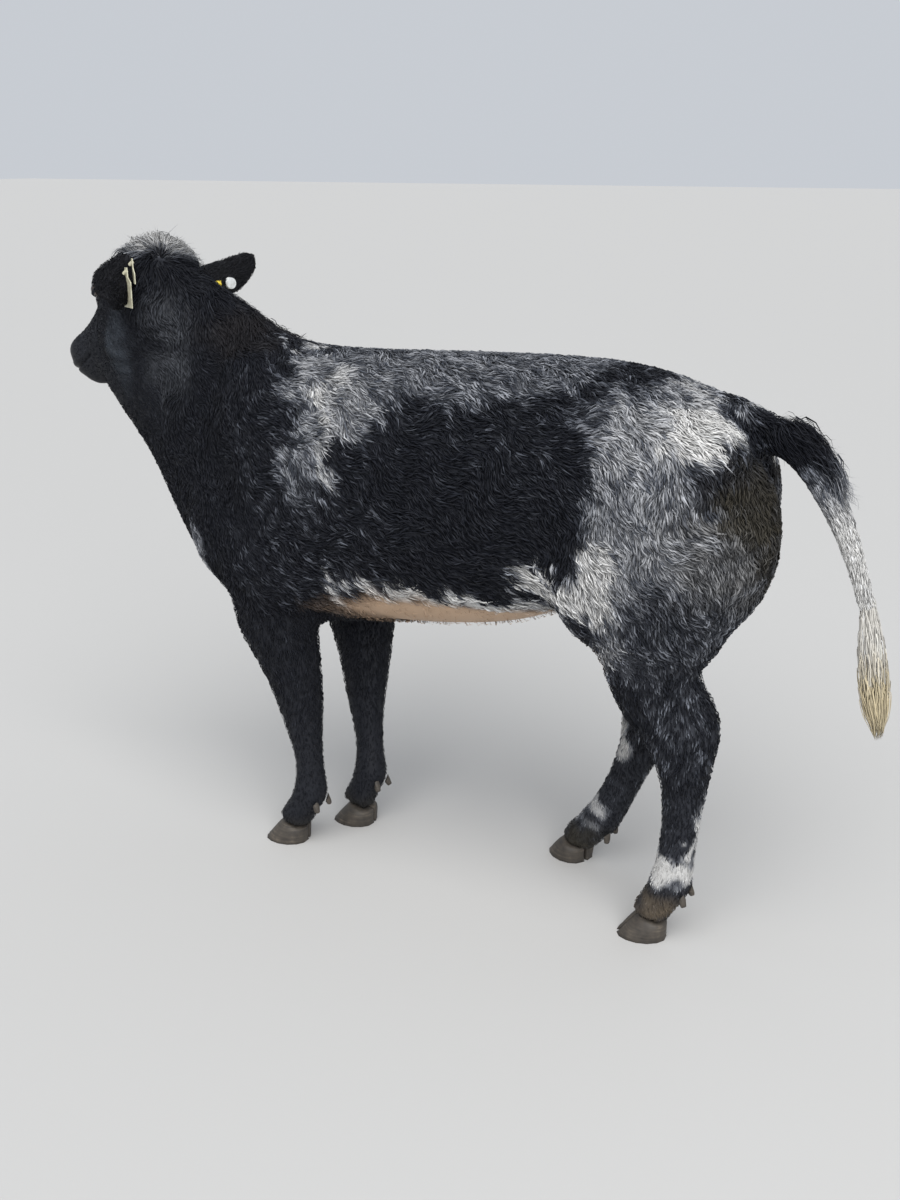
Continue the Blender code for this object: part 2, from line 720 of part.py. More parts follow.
def ear(side, frame):
    """A leaf-shaped cup, folded into a tube at its root and open to the front."""
    axes = ear_axes(side, frame)
    bm = bmesh.new()
    grid = []
    for i in range(EAR_ROWS + 1):
        s = i / EAR_ROWS
        grid.append(
            [bm.verts.new(ear_point(axes, s, 2 * j / EAR_COLUMNS - 1)) for j in range(EAR_COLUMNS + 1)]
        )
    for i in range(EAR_ROWS):
        for j in range(EAR_COLUMNS):
            bm.faces.new((grid[i][j], grid[i + 1][j], grid[i + 1][j + 1], grid[i][j + 1]))
    tip = bm.verts.new(ear_point(axes, 1.09, 0))
    for j in range(EAR_COLUMNS):
        bm.faces.new((grid[-1][j], tip, grid[-1][j + 1]))
    bmesh.ops.recalc_face_normals(bm, faces=bm.faces)
    shell = solid("ear_" + side, bm)
    wall = shell.modifiers.new("Wall", "SOLIDIFY")
    wall.thickness = EAR_WALL
    wall.offset = 0
    wall.use_rim = True
    evaluated(shell)
    base = bmesh.new()
    middle = axes[0] + axes[1] * EAR_BASE_REACH
    add_ellipsoid(base, (0, 0, 0), EAR_BASE, frame=plane_frame(middle, axes[1]), around=14)
    made = union("ear_" + side, [triangulated(shell), triangulated(solid("ear_base", base))])
    return triangulated(made)


def triangulated(obj):
    bm = bmesh.new()
    bm.from_mesh(obj.data)
    bmesh.ops.triangulate(bm, faces=bm.faces)
    bmesh.ops.recalc_face_normals(bm, faces=bm.faces)
    bm.to_mesh(obj.data)
    bm.free()
    return obj


def finished(obj, slot, colour, roughness=0.85):
    """Triangles, one material and smooth shading where the shape is round."""
    triangulated(obj)
    obj.data.materials.clear()
    obj.data.materials.append(material(slot, colour, roughness))
    obj.data.shade_smooth()
    obj.data.set_sharp_from_angle(angle=math.radians(40))
    return obj


def add_lock(bm, root, aim, lie, length, width, thickness, bend):
    """A flat tapered lock of hair: it starts along its aim and bends towards its lie."""
    aim = Vector(aim).normalized()
    lie = Vector(lie)
    side = aim.cross(lie).normalized()
    flat = side.cross(aim).normalized()
    rings = []
    for i in range(LOCK_SPANS):
        t = i / LOCK_SPANS
        middle = root + aim * (length * t) + lie.normalized() * (bend * length * t**2)
        swell = (0.62 + 1.6 * t) if t < 0.25 else (1.02 * (1.02 - t) ** 0.62 + 0.12)
        across, deep = side * (0.5 * width * swell), flat * (0.5 * thickness * swell)
        rings.append(
            [bm.verts.new(p) for p in (middle + across, middle + deep, middle - across, middle - deep)]
        )
    tip = bm.verts.new(root + aim * length + lie.normalized() * (bend * length))
    made = [bm.faces.new(rings[0])]
    for lower, upper in zip(rings, rings[1:]):
        for i in range(4):
            j = (i + 1) % 4
            made.append(bm.faces.new((lower[i], lower[j], upper[j], upper[i])))
    for i in range(4):
        made.append(bm.faces.new((rings[-1][i], rings[-1][(i + 1) % 4], tip)))
    bmesh.ops.recalc_face_normals(bm, faces=made)


def lock_object(name, *shape):
    bm = bmesh.new()
    add_lock(bm, *shape)
    bmesh.ops.triangulate(bm, faces=bm.faces)
    return solid(name, bm)


def lid(side, frame):
    """The rim of both lids: an almond ring round the eye, leaning with the socket."""
    sign = 1 if side == "left" else -1
    out = Vector((0.28, 0.93 * sign, 0.22)).normalized()
    middle = Vector((EYE_PLACE.x, EYE_PLACE.y * sign, EYE_PLACE.z)) + out * 0.0115
    axes = plane_frame(middle, out, Vector((0, 0, 1)))
    bm = bmesh.new()
    rings = []
    around, section = 20, 6
    for i in range(around):
        turn = 2 * math.pi * i / around
        x, y = math.cos(turn), math.sin(turn)
        pinch = 1 - 0.30 * x * x
        centre = Vector((LID_LENGTH * x, LID_HEIGHT * y * pinch, -0.006 * x * x))
        away = Vector((x * LID_HEIGHT, y * LID_LENGTH, 0)).normalized()
        ring = []
        for j in range(section):
            angle = 2 * math.pi * j / section
            step = away * math.cos(angle) + Vector((0, 0, 1)) * math.sin(angle)
            ring.append(bm.verts.new(centre + step * LID_THICK))
        rings.append(ring)
    for i in range(around):
        for j in range(section):
            near, far = rings[i], rings[(i + 1) % around]
            k = (j + 1) % section
            bm.faces.new((near[j], far[j], far[k], near[k]))
    bmesh.ops.recalc_face_normals(bm, faces=bm.faces)
    bm.transform(frame @ axes)
    return triangulated(solid("lid_" + side, bm))


def eye(side, frame):
    sign = 1 if side == "left" else -1
    bm = bmesh.new()
    place = Vector((EYE_PLACE.x, EYE_PLACE.y * sign, EYE_PLACE.z))
    add_ellipsoid(bm, place, (EYE_RADIUS,) * 3, (0, 90, 90 * sign), frame, around=14)
    return triangulated(solid("eye_" + side, bm))


def mouth_cutter(frame):
    """A thin wedge whose edge is the line between the lips, round the front of the muzzle."""
    bm = bmesh.new()
    (front, front_up), (back, back_up) = MOUTH_FRONT, MOUTH_BACK
    middle = Vector(((front + back) / 2, 0, (front_up + back_up) / 2))
    length = front - back
    slope = Matrix.Rotation(math.atan2(back_up - front_up, length), 4, "Y")
    place = frame @ Matrix.Translation(middle) @ slope
    place = place @ Matrix.Diagonal((length, 0.14, MOUTH_GROOVE, 1))
    bmesh.ops.create_cube(bm, size=1, matrix=place)
    cutter = solid("mouth", bm)
    inner = bmesh.new()
    core = frame @ Matrix.Translation(middle - Vector((0.016, 0, 0)))
    core = core @ Matrix.Diagonal((length, MOUTH_CORE, 0.02, 1))
    bmesh.ops.create_cube(inner, size=1, matrix=core)
    core_object = solid("mouth_core", inner)
    combined(cutter, core_object, "DIFFERENCE")
    bpy.data.objects.remove(core_object)
    return cutter


def nostril_cutter(side, frame):
    sign = 1 if side == "left" else -1
    bm = bmesh.new()
    place = Vector((NOSTRIL_PLACE.x, NOSTRIL_PLACE.y * sign, NOSTRIL_PLACE.z))
    add_ellipsoid(bm, place, NOSTRIL_RADII, (25 * sign, 35, 20 * sign), frame, around=12)
    return triangulated(solid("nostril", bm))


def head_cut_frame(frame):
    """Axes on the plane that parts head and neck, Z towards the nose, X down to the throat."""
    down = (THROAT - NAPE).normalized()
    nose = Vector((-down.z, 0, down.x))
    axes = Matrix((down, nose.cross(down), nose)).transposed().to_4x4()
    return frame @ Matrix.Translation(NAPE) @ axes


def head_node(frame):
    """The head, finer than the trunk, with its lids, nostrils, lips and the hair of the poll."""
    shapes = bmesh.new()
    add_trunk(shapes, first=NECK_FIRST)
    add_head(shapes)
    head = fused("head", shapes, HEAD_GRAIN, HEAD_ROUNDS, HEAD_BLEND, None)
    keep = box_cutter(*HEAD_BOX, head_cut_frame(frame))
    combined(head, keep, "INTERSECT")
    bpy.data.objects.remove(keep)
    thin = head.modifiers.new("Thin", "DECIMATE")
    thin.ratio = HEAD_TRIANGLES / (2 * len(head.data.polygons))
    thin.use_collapse_triangulate = True
    evaluated(head)
    return largest_surface(head)


def poll_locks(frame, chance):
    """The pale hair that rises from the nape and lies forward over the poll, in three rows."""
    locks = []
    turn = frame.to_3x3()
    for i in range(POLL_LOCKS):
        row, place = i % 3, (i // 3 + 0.5) / (POLL_LOCKS / 3)
        fan = math.radians(-56 + 112 * place + chance.uniform(-6, 6) + 8 * (row - 1))
        out = Vector((0, -math.sin(fan), math.cos(fan)))
        root = Vector((-0.046 + 0.024 * row, out.y * 0.052, -0.056 + out.z * 0.036))
        aim = out * 0.9 + Vector((0.55, 0, 0))
        lie = out * -0.5 + Vector((1.0, chance.uniform(-0.4, 0.4), 0))
        length = POLL_LOCK_LENGTH * chance.uniform(0.88, 1.12)
        width = 0.026 * chance.uniform(0.85, 1.2)
        locks.append(
            lock_object("lock", frame @ root, turn @ aim, turn @ lie, length, width, 0.009, 0.40)
        )
    return locks


def tail_switch(chance):
    """A slim core and long wavy locks round it, all the way to the tips."""
    along = (SWITCH_TIP - SWITCH_TOP).normalized()
    length = (SWITCH_TIP - SWITCH_TOP).length
    axes = plane_frame(SWITCH_TOP, along)
    turn = axes.to_3x3()
    core = bmesh.new()
    centres = [axes @ Vector((0, 0, SWITCH_START + length * share)) for share, _ in SWITCH_CORE]
    ups = [turn @ Vector((radius, 0, 0)) for _, radius in SWITCH_CORE]
    sides = [turn @ Vector((0, radius, 0)) for _, radius in SWITCH_CORE]
    even = [2] * len(SWITCH_CORE)
    add_sweep(core, np.array(centres), np.array(ups), np.array(sides), even, even, 12, 12)
    pieces = [triangulated(solid("tail_switch", core))]
    for i in range(SWITCH_LOCKS):
        angle = 2.399963 * i
        tier = i / SWITCH_LOCKS
        start = 0.02 + 0.50 * tier
        reach = 0.013 + 0.004 * chance.random()
        out = Vector((math.cos(angle), math.sin(angle), 0))
        root = axes @ (out * reach + Vector((0, 0, SWITCH_START + length * start)))
        spread = 0.150 * (1 - 0.4 * tier) * chance.uniform(0.6, 1.2)
        aim = turn @ (Vector((0, 0, 1)) + out * spread)
        lie = turn @ (out * -1 + Vector((chance.uniform(-0.6, 0.6), chance.uniform(-0.6, 0.6), 0)))
        full = length * (1.0 - start) * chance.uniform(0.86, 1.0)
        wide = 0.021 * (1 - 0.25 * tier) * chance.uniform(0.8, 1.2)
        pieces.append(lock_object("lock", root, aim, lie, full, wide, 0.008, 0.110))
    return union("tail_switch", pieces)


def tags(frame, ears, neck):
    """Two pale plates on the left ear, a yellow plate and a white button on the right one."""
    left, right = ear_axes("left", frame), ear_axes("right", frame)
    made = []
    for name, share, turn, tall in (("a", 0.42, 21, 0.076), ("b", 0.26, 10, 0.044)):
        hang = ear_point(left, share, 0) - left[2] * TAG_STAND_OFF
        facing = Vector((0.76, 0.65, 0))
        facing.rotate(Matrix.Rotation(math.radians(turn), 3, "Z"))
        axes = plane_frame(hang, facing, Vector((0, 0, 1)))
        made.append(hanging_tag("tag_pale_left_" + name, axes, tall, 0.046, left, ears["left"]))
    hang = ear_point(right, 0.20, -0.50) - right[2] * TAG_STAND_OFF
    axes = plane_frame(hang, YELLOW_TAG_FACING, Vector((0, 0, 1)))
    yellow = hanging_tag("tag_yellow_right", axes, 0.050, 0.046, right, ears["right"])
    made.append(cut_clear(yellow, neck))
    outward = ear_outward(right, 0.42, -0.50)
    button = bmesh.new()
    bmesh.ops.create_cone(
        button,
        cap_ends=True,
        segments=20,
        radius1=0.0135,
        radius2=0.0125,
        depth=0.012,
        matrix=plane_frame(ear_point(right, 0.42, -0.50) + outward * 0.005, outward),
    )
    made.append(cut_clear(triangulated(solid("tag_button_right", button)), ears["right"]))
    return made


def hanging_tag(name, axes, tall, wide, ear, carrier):
    """A plate with a narrow neck at its top, and the stud that holds it to the ear's back."""
    outline = (
        (0.006, 0.008),
        (-0.006, 0.008),
        (-0.008, -0.012),
        (-wide / 2, -0.022),
        (-wide / 2, -tall),
        (wide / 2, -tall),
        (wide / 2, -0.022),
        (0.008, -0.012),
    )
    bm = bmesh.new()
    face = bm.faces.new([bm.verts.new((x, y, -TAG_THICK / 2)) for x, y in outline])
    thick = bmesh.ops.extrude_face_region(bm, geom=[face])["geom"]
    moved = [v for v in thick if isinstance(v, bmesh.types.BMVert)]
    bmesh.ops.translate(bm, verts=moved, vec=(0, 0, TAG_THICK))
    bmesh.ops.recalc_face_normals(bm, faces=bm.faces)
    bmesh.ops.triangulate(bm, faces=bm.faces)
    bm.transform(axes)
    stud = bmesh.new()
    middle = axes.translation + ear[2] * (TAG_STAND_OFF / 2)
    bmesh.ops.create_cone(
        stud,
        cap_ends=True,
        segments=10,
        radius1=0.004,
        radius2=0.004,
        depth=TAG_STAND_OFF + 0.004,
        matrix=plane_frame(middle, ear[2]),
    )
    pieces = [solid(name, bm), triangulated(solid("stud", stud))]
    return cut_clear(union(name, pieces), carrier)


def cut_clear(piece, *carriers):
    """Ends a piece on the surface of what carries it, with the gap between the two."""
    for carrier in carriers:
        swollen = grown(carrier, GAP)
        combined(piece, swollen, "DIFFERENCE")
        bpy.data.objects.remove(swollen)
    return largest_surface(piece)


def foot_cutter(foot):
    """What lies below the coronet plane of a foot, with the gap."""
    rise = math.atan2(CORONET_FRONT - CORONET_HEEL, CLAW_LENGTH)
    tilt = Matrix.Translation((0, 0, CORONET_HEEL + GAP)) @ Matrix.Rotation(-rise, 4, "Y")
    return box_cutter((-0.12, -0.12, -0.2), (0.2, 0.12, 0), foot_frame(foot) @ tilt)


def trunk_pieces(body):
    """The neck, shoulders, barrel, rump and thighs, parted by thin cuts."""
    withers, brisket = Vector(NECK_CUT[0]), Vector(NECK_CUT[1])
    down = (brisket - withers).normalized()
    forward = Vector((down.z, 0, -down.x))
    axes = Matrix((down, forward.cross(down), forward)).transposed().to_4x4()
    nodes = {}
    place = Matrix.Translation(withers) @ axes
    nodes["neck"] = parted(body, "neck", (-0.25, -0.4, 0), (0.75, 0.4, 0.7), place)
    nodes["shoulders"] = parted(body, "shoulders", (-1.2, -0.4, 0.4), (SHOULDER_END, 0.4, 1.3))
    for side, low, high in (("left", -0.4, -GAP / 2), ("right", GAP / 2, 0.4)):
        name = f"hindleg_{side}_thigh"
        nodes[name] = parted(body, name, (RUMP_START, low, 0.4), (1.0, high, THIGH_TOP))
    nodes["rump"] = parted(body, "rump", (RUMP_START, -0.4, 0.4), (1.0, 0.4, 1.3))
    return nodes


def leg_pieces(body):
    """Each leg below the trunk, in two lengths, ending at the coronet of its foot."""
    nodes = {}
    for foot, (upper, top, joint, reach) in LEG_CUTS.items():
        end, side = foot.split("_")
        low, high = (-0.4, -LEG_INNER) if side == "left" else (LEG_INNER, 0.4)
        cutter = foot_cutter(foot)
        combined(body, cutter, "DIFFERENCE")
        bpy.data.objects.remove(cutter)
        lower_name = f"{end}leg_{side}_cannon"
        upper_name = f"{end}leg_{side}_{upper}"
        near, far = reach
        nodes[lower_name] = parted(body, lower_name, (near, low, -0.1), (far, high, joint))
        nodes[upper_name] = parted(body, upper_name, (near, low, 0), (far, high, top))
    return nodes


def tail_pieces(body):
    """The dock and the middle of the tail, cut square to its line. The switch takes its end."""
    nodes = {}
    place = plane_frame(SWITCH_TOP, SWITCH_TIP - SWITCH_TOP)
    end = box_cutter((-0.1, -0.1, -GAP), (0.1, 0.1, 0.2), place)
    combined(body, end, "DIFFERENCE")
    bpy.data.objects.remove(end)
    for name, point, aim in TAIL_CUTS:
        place = plane_frame(Vector(point), Vector(aim))
        nodes[name] = parted(body, name, (-0.12, -0.08, 0), (0.12, 0.08, 0.6), place)
    return nodes


def main():
    clear_scene()
    chance = random.Random(SEED)
    frame = head_frame()

    shapes = bmesh.new()
    add_trunk(shapes)
    add_side_muscles(shapes, MUSCLES, -1)
    add_side_muscles(shapes, MUSCLES, 1)
    for centre, radii, turns in LEFT_THIGH + RIGHT_THIGH + MIDDLE_MASSES:
        add_ellipsoid(shapes, centre, radii, turns)
    for leg in LEGS.values():
        add_limb(shapes, leg)
    add_limb(shapes, TAIL)
    add_head(shapes)
    body = fused("barrel", shapes, BODY_GRAIN, BODY_ROUNDS, BODY_BLEND, BODY_TRIANGLES)
    spare = parted(body, "spare", *HEAD_BOX, head_cut_frame(frame))
    bpy.data.objects.remove(spare)

    flesh = tail_pieces(body)
    flesh |= leg_pieces(body)
    flesh |= trunk_pieces(body)
    flesh["barrel"] = largest_surface(body)

    head = head_node(frame)
    ears = {side: cut_clear(ear(side, frame), head, flesh["neck"]) for side in EAR_AIM}
    worn = tags(frame, ears, flesh["neck"])
    head = union("head", [head] + [lid(side, frame) for side in EAR_AIM])
    for cutter in (mouth_cutter(frame), nostril_cutter("left", frame), nostril_cutter("right", frame)):
        combined(head, cutter, "DIFFERENCE")
        bpy.data.objects.remove(cutter)
    eyes = [seated(eye(side, frame), head) for side in EAR_AIM]
    head = union("head", [head] + poll_locks(frame, chance))
    flesh["head"] = cut_clear(head, flesh["neck"])
    flesh["tail_switch"] = tail_switch(chance)

    horn = []
    for foot in FEET:
        end, side_of_body = foot.split("_")
        leg = flesh[f"{end}leg_{side_of_body}_cannon"]
        for sign in (1, -1):
            word = "outer" if (sign > 0) == (side_of_body == "left") else "inner"
            horn.append(claw(f"claw_{foot}_{word}", foot, sign))
            horn.append(dewclaw(f"dewclaw_{foot}_{word}", foot, sign, leg))

    for name, node in flesh.items():
        pale = name in ("tail_switch", "tail_middle")
        finished(node, "pale_coat" if pale else "dark_coat", PALE_COAT if pale else GREY_COAT)
    for node in ears.values():
        finished(node, "dark_coat", GREY_COAT)
    for node in eyes:
        finished(node, "eye_dark", EYE_DARK, 0.08)
    for node in horn:
        finished(node, "claw_horn", CLAW_HORN, 0.6)
    for node in worn:
        slot, colour = TAG_FINISH[node.name.split("_")[1]]
        finished(node, slot, colour, 0.45)
    for thing in bpy.data.objects:
        thing.data.transform(Matrix.Translation(-CENTRE))


main()
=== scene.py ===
"""A young blue-roan heifer as a still, life-size museum model: hide, coat, eyes, hooves and ear tags."""
import math

import bmesh
import bpy
import numpy as np
from mathutils import Euler, Matrix, Vector
from mathutils.bvhtree import BVHTree


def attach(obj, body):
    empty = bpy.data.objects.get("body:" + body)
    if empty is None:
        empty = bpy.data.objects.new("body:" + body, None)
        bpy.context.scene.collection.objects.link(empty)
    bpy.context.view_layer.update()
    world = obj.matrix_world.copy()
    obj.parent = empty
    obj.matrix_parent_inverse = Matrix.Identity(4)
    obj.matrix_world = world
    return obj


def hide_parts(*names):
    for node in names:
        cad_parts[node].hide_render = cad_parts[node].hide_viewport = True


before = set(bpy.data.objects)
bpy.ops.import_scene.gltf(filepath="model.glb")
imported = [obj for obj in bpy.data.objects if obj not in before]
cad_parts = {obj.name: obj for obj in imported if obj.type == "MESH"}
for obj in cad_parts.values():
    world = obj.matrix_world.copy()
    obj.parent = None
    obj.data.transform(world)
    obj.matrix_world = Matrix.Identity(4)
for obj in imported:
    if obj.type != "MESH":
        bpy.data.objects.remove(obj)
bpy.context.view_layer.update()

# The camera of the photograph: its place, turn, downward tilt, all in the model's own metres and degrees
CAMERA_PLACE = Vector((1.409, -2.51, 1.53))
CAMERA_TURN = 28.4
CAMERA_TILT = 17.8
CAMERA_LENS = 42

# The head's own axes: X to the nose, Y to its left, Z up, from the poll
POLL = Vector((-0.686, 0.006, 1.330))
HEAD_TURN = 17.5
HEAD_DIP = 28
HEAD_LEAN = 15
EYE_PLACE = Vector((0.132, 0.088, -0.066))
EYE_RADIUS = 0.0185
EYE_OUT = Vector((0.28, 0.93, 0.22))
NOSTRIL_PLACE = Vector((0.372, 0.038, -0.108))
MOUTH_FRONT = (0.395, -0.153)
MOUTH_BACK = (0.268, -0.158)
WHORL = Vector((-0.631, -0.061, 1.312))

EAR_LENGTH = 0.165
EAR_WIDTH = 0.090
EAR_WALL = 0.0045
EAR_ROOT = {"left": Vector((0.002, 0.086, -0.062)), "right": Vector((0.002, -0.086, -0.084))}
EAR_AIM = {"left": Vector((0.44, -0.82, -0.35)), "right": Vector((0.26, 0.88, 0.36))}
EAR_BASE = 0.026

# The middle of the tail's line, from its root to the switch
TAIL = (
    (0.599, 0.000, 1.062),
    (0.659, 0.000, 1.062),
    (0.719, -0.004, 1.045),
    (0.771, -0.008, 1.015),
    (0.815, -0.010, 0.970),
    (0.851, -0.010, 0.915),
    (0.881, -0.008, 0.850),
    (0.909, -0.004, 0.775),
    (0.9255, 0.000, 0.720),
    (0.945, 0.000, 0.640),
)
SWITCH_TOP = Vector((0.9255, 0.0, 0.720))
SWITCH_TIP = Vector((0.965, 0.0, 0.474))

SIDES = ("left", "right")
FEET = ("fore_left", "fore_right", "hind_left", "hind_right")
# The nodes that one skin takes the place of
FLESH = (
    "barrel", "shoulders", "neck", "rump", "head", "tail_dock", "tail_middle",
    *(f"foreleg_{side}_{part}" for side in SIDES for part in ("forearm", "cannon")),
    *(f"hindleg_{side}_{part}" for side in SIDES for part in ("thigh", "shank", "cannon")),
)

# Hide: its grain, the rounds of smoothing on the body, everywhere, on poll and face, and how dark it is, as
# painted shade under the coat
HIDE_GRAIN = 0.0087
BODY_ROUNDS = 22
FINE_ROUNDS = 7
POLL_ROUNDS = 10
FACE_ROUNDS = 6
HIDE_PAINTED_SHADE = 0.8

# How deep the coat lies over the skin of each part, in metres
BODY_DEPTH = 0.0085
NECK_LESS = 0.0015
LEG_DEPTH = 0.0045
FOOT_DEPTH = 0.0026
HEAD_DEPTH = 0.0022
MUZZLE_DEPTH = 0.0006

# Lids: half the slit's length and height, the depth of its floor, the lid's wall and the socket's edge
SLIT_LENGTH = 0.0185
SLIT_HEIGHT = 0.0118
SLIT_FLOOR = 0.0065
LID_WALL = 0.0022
SOCKET_EDGE = 1.9
MOUTH_LENGTH = 0.127

# Colours of the coat, with its painted shadow and painted sheen, the floor and the sky, as the light they
# give back
BLACK_HAIR = np.array((0.0085, 0.0100, 0.0155))
GREY_HAIR = np.array((0.078, 0.087, 0.108))
BLUE_HAIR = np.array((0.23, 0.25, 0.30))
WHITE_HAIR = np.array((0.82, 0.81, 0.79))
BARE_TAN = np.array((0.66, 0.46, 0.31))
MUD = np.array((0.062, 0.054, 0.038))
PALE_MUD = np.array((0.21, 0.165, 0.115))
RUST_HAIR = np.array((0.050, 0.040, 0.034))
# Painted sheen for neck and cheek, partly a reflection of the sky and partly paler hair
NECK_SHEEN = np.array((0.105, 0.113, 0.130))
CHEEK_SHEEN = np.array((0.115, 0.135, 0.165))
SWITCH_HAIR = np.array((0.62, 0.52, 0.33))
MUZZLE_SKIN = np.array((0.016, 0.017, 0.021))
EAR_HAIR = np.array((0.0085, 0.0088, 0.0115))
SHADOW = (0.004, 0.004, 0.005, 1)
FLOOR_COLOUR = (0.50, 0.495, 0.485)
FLOOR_HALF = 60
SKY_COLOUR = (0.80, 0.84, 0.90, 1)
SKY_STRENGTH = 0.72


# Small numbers that vary smoothly over space

def drift(points, size, seed):
    """A smooth wander between about -1 and 1, whose waves are about size metres long."""
    chance = np.random.default_rng(seed)
    waves = chance.normal(size=(7, 3))
    waves /= np.linalg.norm(waves, axis=1)[:, None]
    waves *= (2 * math.pi / size) * chance.uniform(0.6, 1.5, (7, 1))
    starts = chance.uniform(0, 2 * math.pi, 7)
    return np.sin(points @ waves.T + starts).sum(axis=1) / 2.6


def drift_three(points, size, seed):
    return np.stack([drift(points, size, seed + step) for step in range(3)], axis=1)


def rise(low, high, value):
    share = np.clip((value - low) / (high - low), 0, 1)
    return share * share * (3 - 2 * share)


def unit(vectors):
    return vectors / np.maximum(np.linalg.norm(vectors, axis=1), 1e-9)[:, None]


def blended(start, end, share):
    """One row for each share: start where it is 0, end where it is 1."""
    return start * (1 - share)[:, None] + end * share[:, None]


def hill(value, middle, width):
    """1 at the middle, falling off evenly to both sides."""
    return np.exp(-((value - middle) / width) ** 2)


def beside(count, *columns):
    """Columns side by side, where a single number fills its column."""
    return np.stack([np.broadcast_to(column, count) for column in columns], axis=1)


def laid(courses, normals):
    """Courses without the part of them that points out of the skin."""
    return courses - normals * (courses * normals).sum(axis=1)[:, None]


def mirrored(local):
    """Places with the right side folded onto the left, in head axes."""
    folded = local.copy()
    folded[:, 1] = np.abs(folded[:, 1])
    return folded


def for_now(full, draft):
    """The full number; the draft's number is not used."""
    return full


# The head's own axes

def head_frame():
    turn, dip, lean = (math.radians(d) for d in (HEAD_TURN, HEAD_DIP, HEAD_LEAN))
    level = Vector((-math.cos(turn), math.sin(turn), 0))
    nose = level * math.cos(dip) - Vector((0, 0, 1)) * math.sin(dip)
    up = level * math.sin(dip) + Vector((0, 0, 1)) * math.cos(dip)
    left = up.cross(nose)
    leaned_left = left * math.cos(lean) + up * math.sin(lean)
    leaned_up = up * math.cos(lean) - left * math.sin(lean)
    return Matrix.Translation(POLL) @ Matrix((nose, leaned_left, leaned_up)).transposed().to_4x4()


HEAD = head_frame()
HEAD_TURNED = np.array(HEAD.to_3x3())
HEAD_START = np.array(HEAD.translation)


def in_head(points):
    return (points - HEAD_START) @ HEAD_TURNED


def from_head(points):
    return points @ HEAD_TURNED.T + HEAD_START


def head_share(points):
    """How far a point belongs to the head: 1 on the face, 0 on the neck."""
    local = in_head(points)
    near = rise(-0.045, 0.035, local[:, 0] + 0.25 * local[:, 2] + 0.02)
    return near * rise(-0.46, -0.54, points[:, 0]) * rise(0.88, 1.00, points[:, 2])


# The tail's line

TAIL_POINTS = np.array(TAIL)


def along_tail(points):
    """For each point: how far from the tail's line, where along it from 0 to 1, and the line's direction."""
    best = np.full(len(points), 9.0)
    where = np.zeros(len(points))
    course = np.zeros((len(points), 3))
    spans = len(TAIL_POINTS) - 1
    for i in range(spans):
        start, end = TAIL_POINTS[i], TAIL_POINTS[i + 1]
        step = end - start
        share = np.clip(((points - start) @ step) / (step @ step), 0, 1)
        away = np.linalg.norm(points - (start + share[:, None] * step), axis=1)
        closer = away < best
        best[closer] = away[closer]
        where[closer] = (i + share[closer]) / spans
        course[closer] = step / np.linalg.norm(step)
    return best, where, course


def tail_share(points):
    away, where, _ = along_tail(points)
    free = rise(0.700, 0.745, points[:, 0]) * (away < 0.075) * (points[:, 2] > 0.3)
    return free * rise(0.20, 0.30, where)


# Markings: each patch has its middle and half sizes in millimetres, how white it makes the coat,
# and the side it is on where that is only one
PATCHES = (
    # Withers and shoulder
    ((-275, 0, 1150), (90, 100, 18), 0.80),
    ((-235, -110, 1092), (62, 120, 58), 0.60),
    ((-160, -165, 1045), (48, 120, 84), 1.0),
    ((-80, -180, 1062), (95, 120, 62), 0.60),
    ((-122, -215, 958), (34, 120, 66), 0.72),
    ((-200, -210, 945), (55, 120, 105), 0.42),
    ((-175, -222, 860), (50, 120, 55), 0.27),
    # Back, barrel and loin
    ((80, -80, 1150), (330, 200, 92), 0.44),
    ((150, -240, 830), (250, 160, 185), 0.03),
    ((-60, -240, 800), (120, 160, 110), 0.08),
    ((300, -100, 1135), (110, 200, 66), 0.38),
    # Flank and thigh
    ((500, -240, 960), (75, 160, 130), 0.42),
    ((620, -240, 830), (180, 180, 165), 0.52),
    ((610, -210, 670), (160, 160, 110), 0.24),
    # The dark band before the thigh
    ((425, -125, 1112), (45, 140, 55), 0.07),
    ((402, -225, 1000), (42, 140, 110), 0.08),
    ((385, -232, 880), (48, 160, 100), 0.03),
    # Hip, croup and the pale marks of the thigh
    ((545, -180, 1050), (115, 200, 98), 0.62),
    ((620, -160, 1080), (85, 140, 55), 0.95),
    ((640, -170, 1058), (62, 120, 37), 1.0),
    ((575, 0, 1122), (85, 100, 30), 0.75),
    ((560, -240, 965), (80, 140, 62), 0.52),
    ((480, -242, 782), (40, 140, 75), 0.95, "left"),
    ((590, -262, 885), (62, 160, 50), 0.56, "left"),
    # The pale edge of the belly
    ((330, -218, 768), (50, 140, 34), 0.97),
    ((405, -215, 745), (60, 120, 30), 0.93),
    ((130, -190, 682), (290, 140, 28), 0.95),
    ((-145, -190, 674), (22, 100, 50), 0.88),
    # Legs
    ((490, -200, 640), (20, 80, 80), 0.65, "left"),
    ((620, -150, 520), (70, 100, 110), 0.16),
    ((668, -100, 235), (22, 60, 95), 0.95, "left"),
    ((615, -110, 165), (75, 80, 34), 0.97, "left"),
    ((430, 100, 360), (50, 90, 75), 0.93, "right"),
    ((350, 120, 155), (60, 90, 50), 0.80, "right"),
    # Brisket
    ((-500, -100, 705), (58, 120, 60), 0.50),
)
